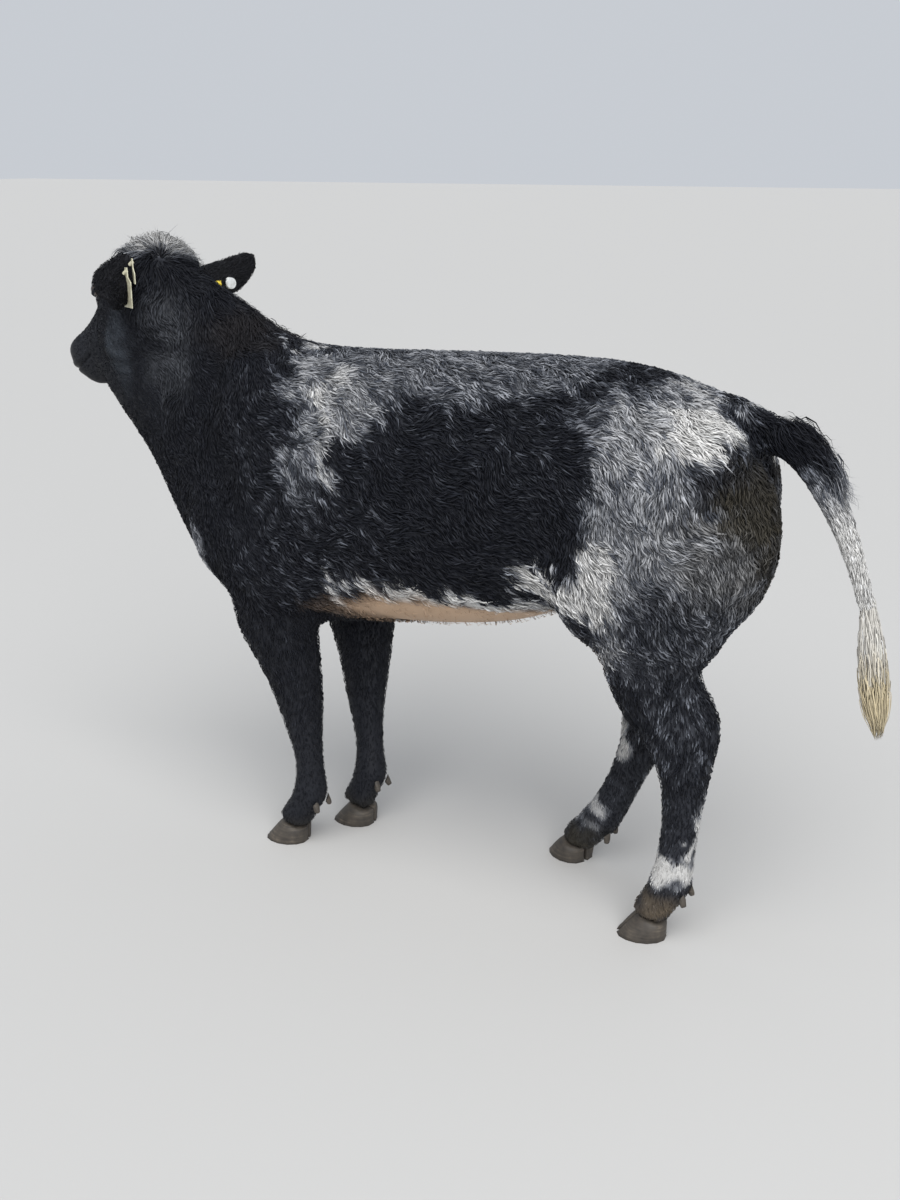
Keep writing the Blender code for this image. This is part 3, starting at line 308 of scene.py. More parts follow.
# Tints laid over the black and white: middle, half sizes, colour, strength, side
TINTS = (
    # Mud on rump and thigh
    ((700, -230, 870), (110, 160, 150), MUD, 0.50),
    ((745, -205, 955), (80, 150, 90), MUD, 0.90),
    ((780, -170, 865), (60, 150, 120), MUD, 0.90),
    # Rust on the neck, then painted sheen on neck and cheek, partly a reflection of the sky and partly paler
    # hair
    ((-430, -50, 1160), (110, 120, 80), RUST_HAIR, 0.35),
    ((-590, -115, 1130), (70, 110, 150), NECK_SHEEN, 0.85),
    ((-724, -125, 1115), (42, 90, 95), CHEEK_SHEEN, 0.85, "left"),
    # Mud on the feet
    ((590, -100, 70), (110, 100, 60), PALE_MUD, 0.90, "left"),
    ((310, 130, 60), (110, 100, 60), MUD, 0.90, "right"),
    ((-290, 0, 30), (200, 200, 50), MUD, 0.55),
)
BARE_SKIN = ((135, -110, 626), (295, 220, 64))
PATCH_CORE = 0.62
TINT_CORE = 0.25
PATCH_EDGE = 1.25


def patch_share(points, middle, half, side="both", core=PATCH_CORE):
    """1 in the middle of a patch, 0 outside it, with a soft edge."""
    place = points.copy()
    if side == "both":
        place[:, 1] = -np.abs(place[:, 1])
    offset = (place - np.array(middle) / 1000) / (np.array(half) / 1000)
    share = 1 - rise(core, PATCH_EDGE, np.sqrt((offset ** 2).sum(axis=1)))
    if side == "left":
        share = share * (points[:, 1] < 0.02)
    if side == "right":
        share = share * (points[:, 1] > -0.02)
    return share


def whiteness(points):
    """How many of the hairs at a place are white, from 0 to 1."""
    far = (points[:, 1] > 0)[:, None] * 0.6
    ragged = points + drift_three(points, 0.11, 5) * (0.018 + 0.03 * far)
    ragged = ragged + drift_three(points, 0.035, 9) * 0.010
    white = 0.07 - 0.04 * rise(-0.30, -0.42, points[:, 0])
    legs = rise(0.66, 0.56, points[:, 2])
    white = white * (1 - 0.6 * legs * (points[:, 0] < 0.1))
    for middle, half, target, *side in PATCHES:
        share = patch_share(ragged, middle, half, *side)
        white = white * (1 - share) + target * share
    _, where, _ = along_tail(points)
    tail = tail_share(points)
    white = white * (1 - tail) + rise(0.30, 0.64, where) * tail
    poll = poll_share(points)
    # Painted shadow: the coat turns black at the whorl, under the poll's tuft
    whorl_shadow = hill(np.linalg.norm(points - np.array(WHORL), axis=1), 0, 0.018)
    return (white * (1 - poll) + 0.92 * poll) * (1 - whorl_shadow)


def poll_share(points):
    """1 on the pale tuft of the poll, 0 away from it."""
    offset = in_head(points) - (-0.028, 0.018, -0.012)
    away = np.sqrt((offset ** 2 / np.array((0.062, 0.088, 0.058)) ** 2).sum(axis=1))
    return 1 - rise(0.6, 1.1, away)


def coat_colour(points, chance=None):
    """The colour of the coat at each point. With chance, each point is one lock, and locks differ."""
    white = whiteness(points)
    if chance is None:
        tone = white
        glow = np.ones(len(points))
    else:
        draw = 0.58 * chance.random(len(points)) + 0.42 * (0.5 + 0.5 * drift(points, 0.030, 21))
        tone = np.clip((white - draw) * 1.7 + 0.5, 0, 1) * rise(0, 0.12, white)
        glow = np.exp(chance.normal(0, 0.16, len(points)))
    light = blended(BLUE_HAIR, WHITE_HAIR, white ** 1.6)
    dark = blended(BLACK_HAIR, GREY_HAIR, rise(0.08, 0.62, white))
    colour = blended(dark, light, tone)
    ragged = points + drift_three(points, 0.09, 31) * 0.012
    mottle = np.clip(0.80 + 0.35 * drift(points, 0.045, 77), 0, 1)
    for middle, half, tint, strength, *side in TINTS:
        share = patch_share(ragged, middle, half, *side, core=TINT_CORE) * strength * mottle
        colour = blended(colour, (0.75 + 0.5 * tone)[:, None] * tint, share)
    colour = blended(colour, BARE_TAN, patch_share(ragged, *BARE_SKIN))
    muzzle = rise(0.300, 0.352, in_head(points)[:, 0]) * head_share(points)
    colour = blended(colour, MUZZLE_SKIN, muzzle)
    return np.clip(colour * glow[:, None], 0, 1)


# Shader sockets that can be added and multiplied as numbers

class Shade:
    """One socket of a material's nodes, which can be added, multiplied and taken from a number."""

    def __init__(self, tree, socket):
        self.tree = tree
        self.socket = socket

    def node(self, kind, settings=None, inputs=None, output=0):
        made = self.tree.nodes.new(kind)
        for name, value in (settings or {}).items():
            if name == "stops":
                fill_ramp(made.color_ramp, value)
            else:
                setattr(made, name, value)
        for name, value in (inputs or {}).items():
            if isinstance(value, Shade):
                self.tree.links.new(value.socket, made.inputs[name])
            else:
                made.inputs[name].default_value = value
        return Shade(self.tree, made.outputs[output])

    def maths(self, operation, first, second):
        return self.node("ShaderNodeMath", {"operation": operation}, {0: first, 1: second})

    def __add__(self, other):
        return self.maths("ADD", self, other)

    def __rsub__(self, other):
        return self.maths("SUBTRACT", other, self)

    def __mul__(self, other):
        return self.maths("MULTIPLY", self, other)

    __radd__ = __add__
    __rmul__ = __mul__

    def mixed(self, first, second):
        """A colour between two, by this share."""
        return self.node(
            "ShaderNodeMix", {"data_type": "RGBA"}, {0: self, 6: first, 7: second}, output=2
        )


def fill_ramp(ramp, stops):
    while len(ramp.elements) > 1:
        ramp.elements.remove(ramp.elements[-1])
    ramp.elements[0].position, ramp.elements[0].color = stops[0]
    for position, colour in stops[1:]:
        ramp.elements.new(position).color = colour


def new_material(name, colour, roughness, **fixed):
    """A material, its principled shader and a starting socket of object coordinates."""
    made = bpy.data.materials.new(name)
    made.use_nodes = True
    tree = made.node_tree
    shader = tree.nodes["Principled BSDF"]
    shader.inputs["Base Color"].default_value = (*colour, 1)
    shader.inputs["Roughness"].default_value = roughness
    for key, value in fixed.items():
        shader.inputs[key.replace("_", " ")].default_value = value
    place = tree.nodes.new("ShaderNodeTexCoord")
    return made, shader, Shade(tree, place.outputs["Object"])


def feed(shader, socket, shade):
    shade.tree.links.new(shade.socket, shader.inputs[socket])


def noise(place, scale, detail=3.0, roughness=0.55):
    inputs = {"Vector": place, "Scale": scale, "Detail": detail, "Roughness": roughness}
    return place.node("ShaderNodeTexNoise", {}, inputs)


def stretched(place, scale):
    return place.node("ShaderNodeMapping", {}, {"Vector": place, "Scale": scale})


def attribute(place, name, output="Color"):
    made = place.tree.nodes.new("ShaderNodeAttribute")
    made.attribute_name = name
    return Shade(place.tree, made.outputs[output])


def bumped(shader, place, height, strength, depth):
    bump = place.node(
        "ShaderNodeBump", {}, {"Height": height, "Strength": strength, "Distance": depth}, output="Normal"
    )
    feed(shader, "Normal", bump)


def hide_material():
    """Short hair and skin under the coat: fine hair lines with painted shadow, and pebbles on the wet muzzle
    and bare belly.
    """
    made, shader, place = new_material("hide", (0.03, 0.03, 0.04), 0.62, Specular_IOR_Level=0.22)
    colour = attribute(place, "Coat")
    bare = attribute(place, "Bare", "Fac")
    hairs = noise(stretched(place, (1.0, 1.0, 0.22)), 420.0)
    # Painted shadow: off bare skin the hide darkens towards SHADOW, by 0.12 everywhere and more where the
    # fine hair lines and a coarser noise are strong
    share = (1 - bare) * (0.12 + 0.42 * (hairs * noise(place, 24.0)))
    feed(shader, "Base Color", share.mixed(colour, SHADOW))
    feed(shader, "Roughness", 0.62 - 0.30 * bare)
    pebbles = place.node("ShaderNodeTexVoronoi", {"feature": "F1"}, {"Vector": place, "Scale": 330.0})
    height = (1 - bare) * hairs + bare * (1 - pebbles)
    bumped(shader, place, height, 0.55, 0.0012)
    return made


def hair_material(name, roughness=0.58):
    """Locks of hair: the lock's own colour with fine lines along it, and painted shadow in the grooves
    between them.
    """
    made, shader, place = new_material(name, (0.1, 0.1, 0.1), roughness, Specular_IOR_Level=0.18)
    strand = place.node("ShaderNodeUVMap", {"uv_map": "Strand"}, {})
    lines = noise(stretched(strand, (14.0, 1.6, 1.0)), 2.2, 2.0)
    # Painted shadow in the grooves between the hair lines, mixed towards SHADOW
    share = 0.55 - 0.75 * lines
    feed(shader, "Base Color", share.mixed(attribute(place, "Coat"), SHADOW))
    bumped(shader, place, lines, 0.35, 0.0006)
    return made


def horn_material():
    """Hoof horn with rings of growth and dirt in them."""
    made, shader, place = new_material("hoof_horn", (0.07, 0.06, 0.05), 0.62)
    rings = noise(stretched(place, (6.0, 6.0, 130.0)), 2.4, 4.0)
    dirt = noise(place, 48.0, 6.0, 0.65)
    stops = (
        (0.30, (0.018, 0.016, 0.014, 1)), (0.55, (0.060, 0.050, 0.040, 1)), (0.78, (0.17, 0.14, 0.105, 1)),
    )
    colour = dirt.node("ShaderNodeValToRGB", {"stops": stops}, {0: 0.55 * dirt + 0.45 * rings})
    feed(shader, "Base Color", colour)
    feed(shader, "Roughness", 0.45 + 0.4 * dirt)
    bumped(shader, place, 0.5 * rings + 0.5 * dirt, 0.6, 0.0015)
    return made


def tag_material(name, colour, worn):
    made, shader, place = new_material(name, colour, 0.42)
    grime = noise(place, 90.0, 5.0, 0.6)
    ramp = {"stops": ((0.40, (*colour, 1)), (0.72, (*worn, 1)))}
    feed(shader, "Base Color", grime.node("ShaderNodeValToRGB", ramp, {0: grime}))
    feed(shader, "Roughness", 0.30 + 0.35 * grime)
    bumped(shader, place, grime, 0.15, 0.0004)
    return made


def eye_material():
    made, shader, place = new_material(
        "eye_wet", (0.02, 0.01, 0.006), 0.08, Coat_Weight=0.6, Coat_Roughness=0.05
    )
    feed(shader, "Base Color", attribute(place, "Iris"))
    return made


# Meshes

def placed(name, data):
    """A new object in the scene."""
    made = bpy.data.objects.new(name, data)
    bpy.context.scene.collection.objects.link(made)
    return made


def new_piece(name, mesh, material):
    piece = placed(name, mesh)
    mesh.materials.clear()
    mesh.materials.append(material)
    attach(piece, "root")
    return piece


def mesh_of(name, bm):
    """A mesh of bm, which is used up."""
    mesh = bpy.data.meshes.new(name)
    bm.to_mesh(mesh)
    bm.free()
    return mesh


def smoothed(mesh):
    """The mesh, with its faces shaded as one surface."""
    for polygon in mesh.polygons:
        polygon.use_smooth = True
    return mesh


def numbers_of(items, field, width, kind=float):
    """A field of all items, as rows of so many numbers."""
    numbers = np.empty(len(items) * width, dtype=kind)
    items.foreach_get(field, numbers)
    return numbers.reshape(-1, width)


def points_of(mesh):
    return numbers_of(mesh.vertices, "co", 3)


def normals_of(mesh):
    return numbers_of(mesh.vertex_normals, "vector", 3)


def put_points(mesh, places):
    mesh.vertices.foreach_set("co", places.astype(np.float32).ravel())
    mesh.update()


def put_colour(mesh, name, colours):
    layer = mesh.color_attributes.new(name=name, type="FLOAT_COLOR", domain="POINT")
    whole = np.ones((len(colours), 4), dtype=np.float32)
    whole[:, :3] = colours
    layer.data.foreach_set("color", whole.ravel())


def merged_copies(names):
    """One mesh of several CAD nodes, copied, with their loose triangles joined up."""
    joined = bmesh.new()
    for name in names:
        joined.from_mesh(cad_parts[name].data)
    bmesh.ops.remove_doubles(joined, verts=joined.verts, dist=1e-6)
    return joined


def neighbours(mesh):
    return numbers_of(mesh.edges, "vertices", 2, np.int64)


def relaxed(places, ends, share, rounds):
    """Each point moves towards the middle of its neighbours, by its own share, many times."""
    count = len(places)
    first = np.concatenate((ends[:, 0], ends[:, 1]))
    second = np.concatenate((ends[:, 1], ends[:, 0]))
    degree = np.maximum(np.bincount(first, minlength=count), 1)
    for _ in range(rounds):
        middle = np.stack(
            [np.bincount(first, weights=places[second, axis], minlength=count) for axis in range(3)], axis=1
        )
        places = places + share[:, None] * (middle / degree[:, None] - places)
    return places


def largest_shell(bm):
    """Drops all but the largest connected surface."""
    left, best = set(bm.verts), []
    while left:
        group = [left.pop()]
        for vert in group:
            near = {edge.other_vert(vert) for edge in vert.link_edges} & left
            left -= near
            group += near
        best = max(best, group, key=len)
    bmesh.ops.delete(bm, geom=list(set(bm.verts) - set(best)), context="VERTS")


def remeshed(bm, grain):
    """The shape with one even surface."""
    mesh = mesh_of("rough", bm)
    rough = placed("rough", mesh)
    change = rough.modifiers.new("Even", "REMESH")
    change.mode = "VOXEL"
    change.voxel_size = grain
    seen = rough.evaluated_get(bpy.context.evaluated_depsgraph_get())
    even = bmesh.new()
    even.from_mesh(seen.to_mesh())
    seen.to_mesh_clear()
    bpy.data.objects.remove(rough)
    bpy.data.meshes.remove(mesh)
    return even


# The hide: flesh nodes joined into one skin

def add_ear_root(bm, side):
    root = HEAD @ EAR_ROOT[side]
    middle = root + EAR_AIM[side].normalized() * 0.016
    bmesh.ops.create_icosphere(bm, subdivisions=3, radius=EAR_BASE, matrix=Matrix.Translation(middle))


def coat_depth(points):
    """How thick the coat lies over the skin."""
    x, _, z = points.T
    head = head_share(points)
    muzzle = rise(0.28, 0.34, in_head(points)[:, 0]) * head
    depth = BODY_DEPTH - NECK_LESS * rise(-0.20, -0.36, x)
    for share, thin in (
        (rise(0.64, 0.46, z) * (x < 0.75), LEG_DEPTH),
        (rise(0.40, 0.25, z) * (x < 0.75), FOOT_DEPTH),
        (head, HEAD_DEPTH),
        (muzzle, MUZZLE_DEPTH),
        (tail_share(points), LEG_DEPTH),
    ):
        depth = depth * (1 - share) + thin * share
    return depth


def near_face_detail(points):
    """Points close to an eye, the nostrils or the mouth."""
    local = in_head(points)
    eye = np.linalg.norm(mirrored(local) - np.array(EYE_PLACE), axis=1) < 0.034
    mouth = (np.abs(local[:, 2] - MOUTH_BACK[1]) < 0.014) & (local[:, 0] > MOUTH_BACK[0] - 0.01)
    return eye | (((local[:, 0] > 0.352) | mouth) & (head_share(points) > 0.5))


def refine(bm, chosen):
    bm.verts.ensure_lookup_table()
    edges = {edge for index in np.nonzero(chosen)[0] for edge in bm.verts[int(index)].link_edges}
    bmesh.ops.subdivide_edges(bm, edges=list(edges), cuts=1, use_grid_fill=True)


def bm_points(bm):
    return np.array([vert.co[:] for vert in bm.verts])


def eye_axes(side):
    """Middle of the eyeball, outwards, along the slit towards the nose, and up across it, in head axes."""
    flip = np.array((1, 1 if side == "left" else -1, 1))
    middle = np.array(EYE_PLACE) * flip
    out = np.array(EYE_OUT) * flip
    out /= np.linalg.norm(out)
    along = np.array((0.94, -0.20, -0.26)) * flip
    along -= out * (along @ out)
    along /= np.linalg.norm(along)
    up = np.cross(out, along)
    if up[2] < 0:
        up = -up
    return middle, out, along, up


def sculpt_eye(local, side):
    """Opens the lids over the eyeball and raises their rims and the socket's edge."""
    middle, out, along, up = eye_axes(side)
    offset = local - middle
    a, b, w = offset @ along, offset @ up, offset @ out
    near = (w > -0.012) & (np.abs(a) < 0.045) & (np.abs(b) < 0.04)
    slit = np.sqrt((a / SLIT_LENGTH) ** 2 + (b / (SLIT_HEIGHT - 0.025 * np.abs(a))) ** 2)
    ball = np.sqrt(np.maximum(EYE_RADIUS ** 2 - a ** 2 - b ** 2, 0.0))
    opened = near & (slit < 1.0)
    rim = near & (slit >= 1.0)
    target = w.copy()
    target[opened] = np.minimum(w, ball - SLIT_FLOOR)[opened]
    lifted = np.where(slit < SOCKET_EDGE, np.maximum(ball + LID_WALL, -0.004), w)
    blend = np.clip((SOCKET_EDGE - slit) / 0.8, 0, 1) ** 1.5
    target[rim] = (w * (1 - blend) + lifted * blend + 0.0014 * hill(slit, 1.16, 0.20))[rim]
    crease = hill(slit, 1.75, 0.13) * (b > -0.004)
    target = target - np.where(rim, 0.0018 * crease, 0)
    return local + out * (target - w)[:, None]


def sculpt_muzzle(local):
    """Nostrils with raised wings, the mouth's line with its lips, and the groove under the nose."""
    for sign in (1, -1):
        middle = np.array((NOSTRIL_PLACE.x - 0.004, NOSTRIL_PLACE.y * sign, NOSTRIL_PLACE.z))
        offset = local - middle
        a = offset[:, 1] * sign * 0.55 + offset[:, 2] * 0.83
        b = offset[:, 1] * sign * 0.83 - offset[:, 2] * 0.55
        reach = np.sqrt((a / 0.0125) ** 2 + (b / 0.0070) ** 2)
        front = (offset[:, 0] > -0.030) & (reach < 2.4)
        hollow = np.exp(-np.maximum(reach - 0.35, 0) ** 2 / 0.32)
        move = np.where(front, -0.017 * hollow + 0.0022 * hill(reach, 1.45, 0.32), 0)
        local = local + move[:, None] * np.array((0.93, 0.30 * sign, 0.20))
    x, y, z = local.T
    slope = (MOUTH_FRONT[1] - MOUTH_BACK[1]) / (MOUTH_FRONT[0] - MOUTH_BACK[0])
    line = MOUTH_BACK[1] + slope * (x - MOUTH_BACK[0])
    line = line - 0.004 * np.sin(math.pi * np.clip((x - MOUTH_BACK[0]) / MOUTH_LENGTH, 0, 1))
    length = rise(MOUTH_BACK[0] - 0.012, MOUTH_BACK[0] + 0.012, x)
    groove = hill(z - line, 0, 0.0032) * length
    lip = hill(z - line, 0.009, 0.0055) * length
    lower = hill(z - line, -0.010, 0.0060) * length
    outward = beside(len(local), 0.55 * rise(0.33, 0.37, x), y / 0.050, 0)
    local = local + outward * (-0.0062 * groove + 0.0016 * lip + 0.0010 * lower)[:, None]
    x, y, z = local.T
    philtrum = hill(y, 0, 0.0028) * rise(0.355, 0.372, x) * rise(-0.155, -0.135, z) * rise(-0.085, -0.105, z)
    return local - np.array((1.0, 0, 0)) * (0.0030 * philtrum)[:, None]


def sculpt_face(local):
    """Wrinkles over the eye and the cheek's edge."""
    side = np.sign(local[:, 1])
    for step in range(3):
        x, y, z = local.T
        away = np.sqrt((x - EYE_PLACE.x) ** 2 + (z - EYE_PLACE.z) ** 2)
        above = rise(0.0, 0.02, z - EYE_PLACE.z) * (np.abs(y) > 0.045)
        wrinkle = hill(away, 0.030 + 0.011 * step, 0.0035) * above
        local = local - beside(len(local), 0, 0.0016 * wrinkle * side, 0.0016 * wrinkle)
    x, _, z = local.T
    edge = hill(x - 0.200 + 0.55 * (z + 0.14), 0, 0.010) * rise(-0.215, -0.17, z) * rise(-0.07, -0.10, z)
    return local - beside(len(local), 0, 0.0035 * edge * side, 0)


def make_hide(material):
    """One skin over all the flesh, without a seam, inside the solids by the coat's depth."""
    bm = merged_copies(FLESH)
    for side in SIDES:
        add_ear_root(bm, side)
    even = remeshed(bm, HIDE_GRAIN)
    largest_shell(even)
    mesh = mesh_of("hide", even)
    places = points_of(mesh)
    ends = neighbours(mesh)
    legs = rise(0.62, 0.50, places[:, 2]) * (places[:, 0] < 0.75)
    coarse = 0.5 * np.clip(1 - head_share(places) - legs - tail_share(places), 0, 1)
    places = relaxed(places, ends, np.full(len(places), 0.5), FINE_ROUNDS)
    places = relaxed(places, ends, 0.5 * poll_share(places), POLL_ROUNDS)
    places = relaxed(places, ends, coarse, BODY_ROUNDS)
    put_points(mesh, places)

    bm = bmesh.new()
    bm.from_mesh(mesh)
    refine(bm, head_share(bm_points(bm)) > 0.35)
    refine(bm, near_face_detail(bm_points(bm)))
    bmesh.ops.triangulate(bm, faces=bm.faces)
    bm.to_mesh(mesh)
    bm.free()
    places = points_of(mesh)
    face = (head_share(places) > 0.3) * 0.5
    places = relaxed(places, neighbours(mesh), face, FACE_ROUNDS)
    put_points(mesh, places)
    places = places - normals_of(mesh) * coat_depth(places)[:, None]
    on_head = head_share(places) > 0.2
    local = sculpt_muzzle(sculpt_face(in_head(places[on_head])))
    for side in SIDES:
        local = sculpt_eye(local, side)
    places[on_head] = from_head(local)
    put_points(mesh, places)
    smoothed(mesh)
    # The hide takes the coat's colour, darkened as painted shade under the locks
    put_colour(mesh, "Coat", coat_colour(places) * HIDE_PAINTED_SHADE)
    muzzle = rise(0.335, 0.362, in_head(places)[:, 0]) * head_share(places)
    belly = patch_share(places, *BARE_SKIN)
    bare = mesh.attributes.new("Bare", "FLOAT", "POINT")
    bare.data.foreach_set("value", np.maximum(muzzle, 0.5 * belly).astype(np.float32))
    piece = new_piece("hide", mesh, material)
    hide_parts(*FLESH)
    return piece


# Ears

def ear_axes(side):
    sign = 1 if side == "left" else -1
    along = EAR_AIM[side].normalized()
    nose = HEAD.to_3x3() @ Vector((1, 0.25 * sign, -0.25))
    cup = (nose - along * along.dot(nose)).normalized()
    return HEAD @ EAR_ROOT[side], along, cup, along.cross(cup)


def ear_point(axes, s, across, thin=1.0):
    root, along, cup, edge = axes
    leaf = 0.26 + 0.74 * math.sin(math.pi * (0.08 + 0.84 * min(s, 1.0))) ** 0.9
    half = 0.5 * EAR_WIDTH * leaf * thin
    fold = math.radians(150 - 92 * min(1, s * 1.5) ** 0.8)
    radius = half / math.sin(min(fold, math.pi / 2))
    angle = fold * across
    inward = radius * (math.cos(fold) - math.cos(angle)) + 0.7 * min(radius, half)
    return root + along * (EAR_LENGTH * s) + edge * (radius * math.sin(angle)) + cup * inward


def make_ear(side, material):
    """A leaf-shaped cup with ridges inside and a soft edge."""
    axes = ear_axes(side)
    rows, columns = 22, 20
    bm = bmesh.new()
    grid = []
    for i in range(rows + 1):
        s = 0.985 * i / rows
        ring = []
        for j in range(columns + 1):
            across = 2 * j / columns - 1
            place = ear_point(axes, s, across, 0.96)
            ridge = 0.0012 * math.cos(across * 9) * math.sin(math.pi * s)
            ring.append(bm.verts.new(place + axes[2] * ridge))
        grid.append(ring)
    for i in range(rows):
        for j in range(columns):
            bm.faces.new((grid[i][j], grid[i + 1][j], grid[i + 1][j + 1], grid[i][j + 1]))
    tip = bm.verts.new(ear_point(axes, 1.05, 0))
    for j in range(columns):
        bm.faces.new((grid[-1][j], tip, grid[-1][j + 1]))
    bmesh.ops.recalc_face_normals(bm, faces=bm.faces)
    bmesh.ops.solidify(bm, geom=bm.faces[:], thickness=EAR_WALL)
    bmesh.ops.recalc_face_normals(bm, faces=bm.faces)
    bmesh.ops.triangulate(bm, faces=bm.faces)
    mesh = smoothed(mesh_of("ear_" + side + "_skin", bm))
    put_colour(mesh, "Coat", np.tile(EAR_HAIR, (len(mesh.vertices), 1)))
    piece = new_piece("ear_" + side + "_skin", mesh, material)
    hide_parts("ear_" + side)
    return piece


# Eyes

def make_eye(side, material):
    """A wet ball with a dark brown iris, a long level pupil and a darker edge of the white."""
    middle, out, along, up = eye_axes(side)
    bm = bmesh.new()
    bmesh.ops.create_uvsphere(bm, u_segments=56, v_segments=40, radius=EYE_RADIUS)
    mesh = smoothed(mesh_of("eyeball_" + side, bm))
    local = points_of(mesh)
    turned = local[:, 0:1] * along + local[:, 1:2] * up + local[:, 2:3] * out
    a, b, w = local.T
    cornea = np.exp(-((a / 0.0115) ** 2 + (b / 0.0100) ** 2) ** 2) * (w > 0)
    put_points(mesh, from_head(middle + turned + out * (0.0012 * cornea)[:, None]))
    iris = 1 - rise(0.90, 1.05, np.sqrt((a / 0.0128) ** 2 + (b / 0.0108) ** 2))
    pupil = 1 - rise(0.85, 1.08, np.sqrt((a / 0.0066) ** 2 + (b / 0.0034) ** 2))
    turn = np.arctan2(b, a)
    fibres = 0.75 + 0.25 * np.sin(turn * 37) * np.sin(turn * 23 + 1)
    brown = fibres[:, None] * (0.022, 0.011, 0.006)
    colour = blended(np.array((0.055, 0.040, 0.034)), brown, iris * (w > 0))
    put_colour(mesh, "Iris", blended(colour, np.full(3, 0.003), pupil * (w > 0)))
    piece = new_piece("eyeball_" + side, mesh, material)
    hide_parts("eye_" + side)


# Hooves

def make_hoof(foot, material):
    """Both claws and both dewclaws of a foot, rounded."""
    names = [f"{kind}_{foot}_{half}" for kind in ("claw", "dewclaw") for half in ("inner", "outer")]
    bm = merged_copies(names)
    bmesh.ops.dissolve_limit(bm, angle_limit=0.09, verts=bm.verts, edges=bm.edges)
    bmesh.ops.triangulate(bm, faces=bm.faces)
    bmesh.ops.subdivide_edges(bm, edges=bm.edges, cuts=2, use_grid_fill=True)
    loose = [vert for vert in bm.verts if vert.co.z >= 1e-4]
    for _ in range(4):
        bmesh.ops.smooth_vert(bm, verts=loose, factor=0.35, use_axis_x=True, use_axis_y=True, use_axis_z=True)
    bmesh.ops.triangulate(bm, faces=bm.faces)
    piece = new_piece("hoof_" + foot, smoothed(mesh_of("hoof_" + foot, bm)), material)
    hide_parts(*names)


# The coat: for each piece the count, length and width of its locks, and the way its unwrap runs

COAT = {
    "coat_barrel": (18000, 0.036, 0.0029, (1, 0, 0)),
    "coat_shoulders": (18000, 0.034, 0.0028, (1, 0, 0.2)),
    "coat_neck": (18000, 0.027, 0.0024, (-1, 0, 0.9)),
    "coat_rump": (16000, 0.035, 0.0029, (1, 0, 0)),
    "coat_thighs": (17500, 0.033, 0.0028, (0, 0, 1)),
    "coat_head": (15000, 0.0115, 0.0019, (-0.85, 0.25, -0.47)),
    "coat_forelegs": (11500, 0.017, 0.0026, (0, 0, 1)),
    "coat_hindlegs": (13500, 0.018, 0.0027, (0, 0, 1)),
    "coat_tail": (5500, 0.030, 0.0024, (0.5, 0, -0.85)),
}
COAT_RINGS = 2
TUFT_RINGS = 4
SWITCH_RINGS = 6
# How wide the rings of a lock are in turn, and how light its root and its end are, as painted shade that is
# darkest at the root, deep in the coat
LOCK_SWELL = (0.62, 1.0, 0.80, 0.6)
SWITCH_SWELL = (0.7, 1.0, 1.05, 1.0, 0.85, 0.6)
LOCK_PAINTED_SHADE = (0.66, 1.10)
# The switch's half width, from above its top to its tip
SWITCH_RUN = (-0.16, 0.0, 0.25, 0.55, 0.80, 0.93, 1.0)
SWITCH_BODY = (0.013, 0.0170, 0.0270, 0.0320, 0.0270, 0.0150, 0.003)
BAKE_WIDTH = 0.0026


def lie_of_hair(points, normals):
    """The way the hair points at each place, along the skin."""
    x, y, z = points.T
    side = np.where(y < 0, -1.0, 1.0)
    flank = np.exp(-(((x - 0.41) / 0.055) ** 2 + ((z - 0.80) / 0.10) ** 2))
    legs = rise(0.66, 0.54, z) * np.where((x > -0.13) & (x < 0.30), 0.0, 1.0)
    course = np.tile(np.array((0.90, 0.0, -0.42)), (len(points), 1))
    for share, way in (
        (rise(1.02, 1.12, z), (0.95, 0.30 * side, -0.1)),
        (rise(0.70, 0.62, z) * (x > -0.2) * (x < 0.42), (0.7, 0.3 * side, -0.5)),
        (rise(-0.22, -0.42, x), (0.52, 0.0, -0.85)),
        (rise(0.40, 0.56, x), (0.55, 0.0, -0.80)),
        (rise(0.66, 0.78, x) * rise(1.10, 0.98, z), (0.05, 0.0, -1.0)),
        (flank, (-0.1, 0.0, -1.0)),
        (legs, (0.06, 0.0, -1.0)),
    ):
        course = blended(course, beside(len(points), *way), share)
    _, _, tail_course = along_tail(points)
    course = blended(course, tail_course, tail_share(points))
    around = points - np.array(WHORL)
    spin = rise(0.17, 0.05, np.linalg.norm(around, axis=1))
    course = blended(course, unit(around), spin)
    course = blended(course, head_course(points), head_share(points) * (1 - spin))
    course = unit(laid(course, normals))
    wander = 0.38 * drift(points, 0.13, 41) + 0.34 * drift(points, 0.045, 43)
    calm = np.clip(1 - 0.75 * head_share(points) - 0.55 * legs - 0.7 * tail_share(points), 0.2, 1)
    turn = wander * calm
    across = np.cross(normals, course)
    return unit(course * np.cos(turn)[:, None] + across * np.sin(turn)[:, None])


def head_course(points):
    """On the face the hair parts below the poll, runs down the nose and back along the cheeks."""
    x, y, z = in_head(points).T
    side = np.sign(y)
    nose = beside(len(x), 1.0, 0.5 * side * rise(0.0, 0.05, np.abs(y)), -0.2)
    cheek = beside(len(x), -0.45, 0.1 * side, -0.85)
    crown = beside(len(x), x - 0.075, y, 0.02)
    low = rise(-0.075, -0.115, z) * rise(0.33, 0.27, x)
    course = blended(nose, cheek, low)
    course = blended(course, unit(crown), rise(0.115, 0.075, x) * (1 - low))
    return course @ HEAD_TURNED.T


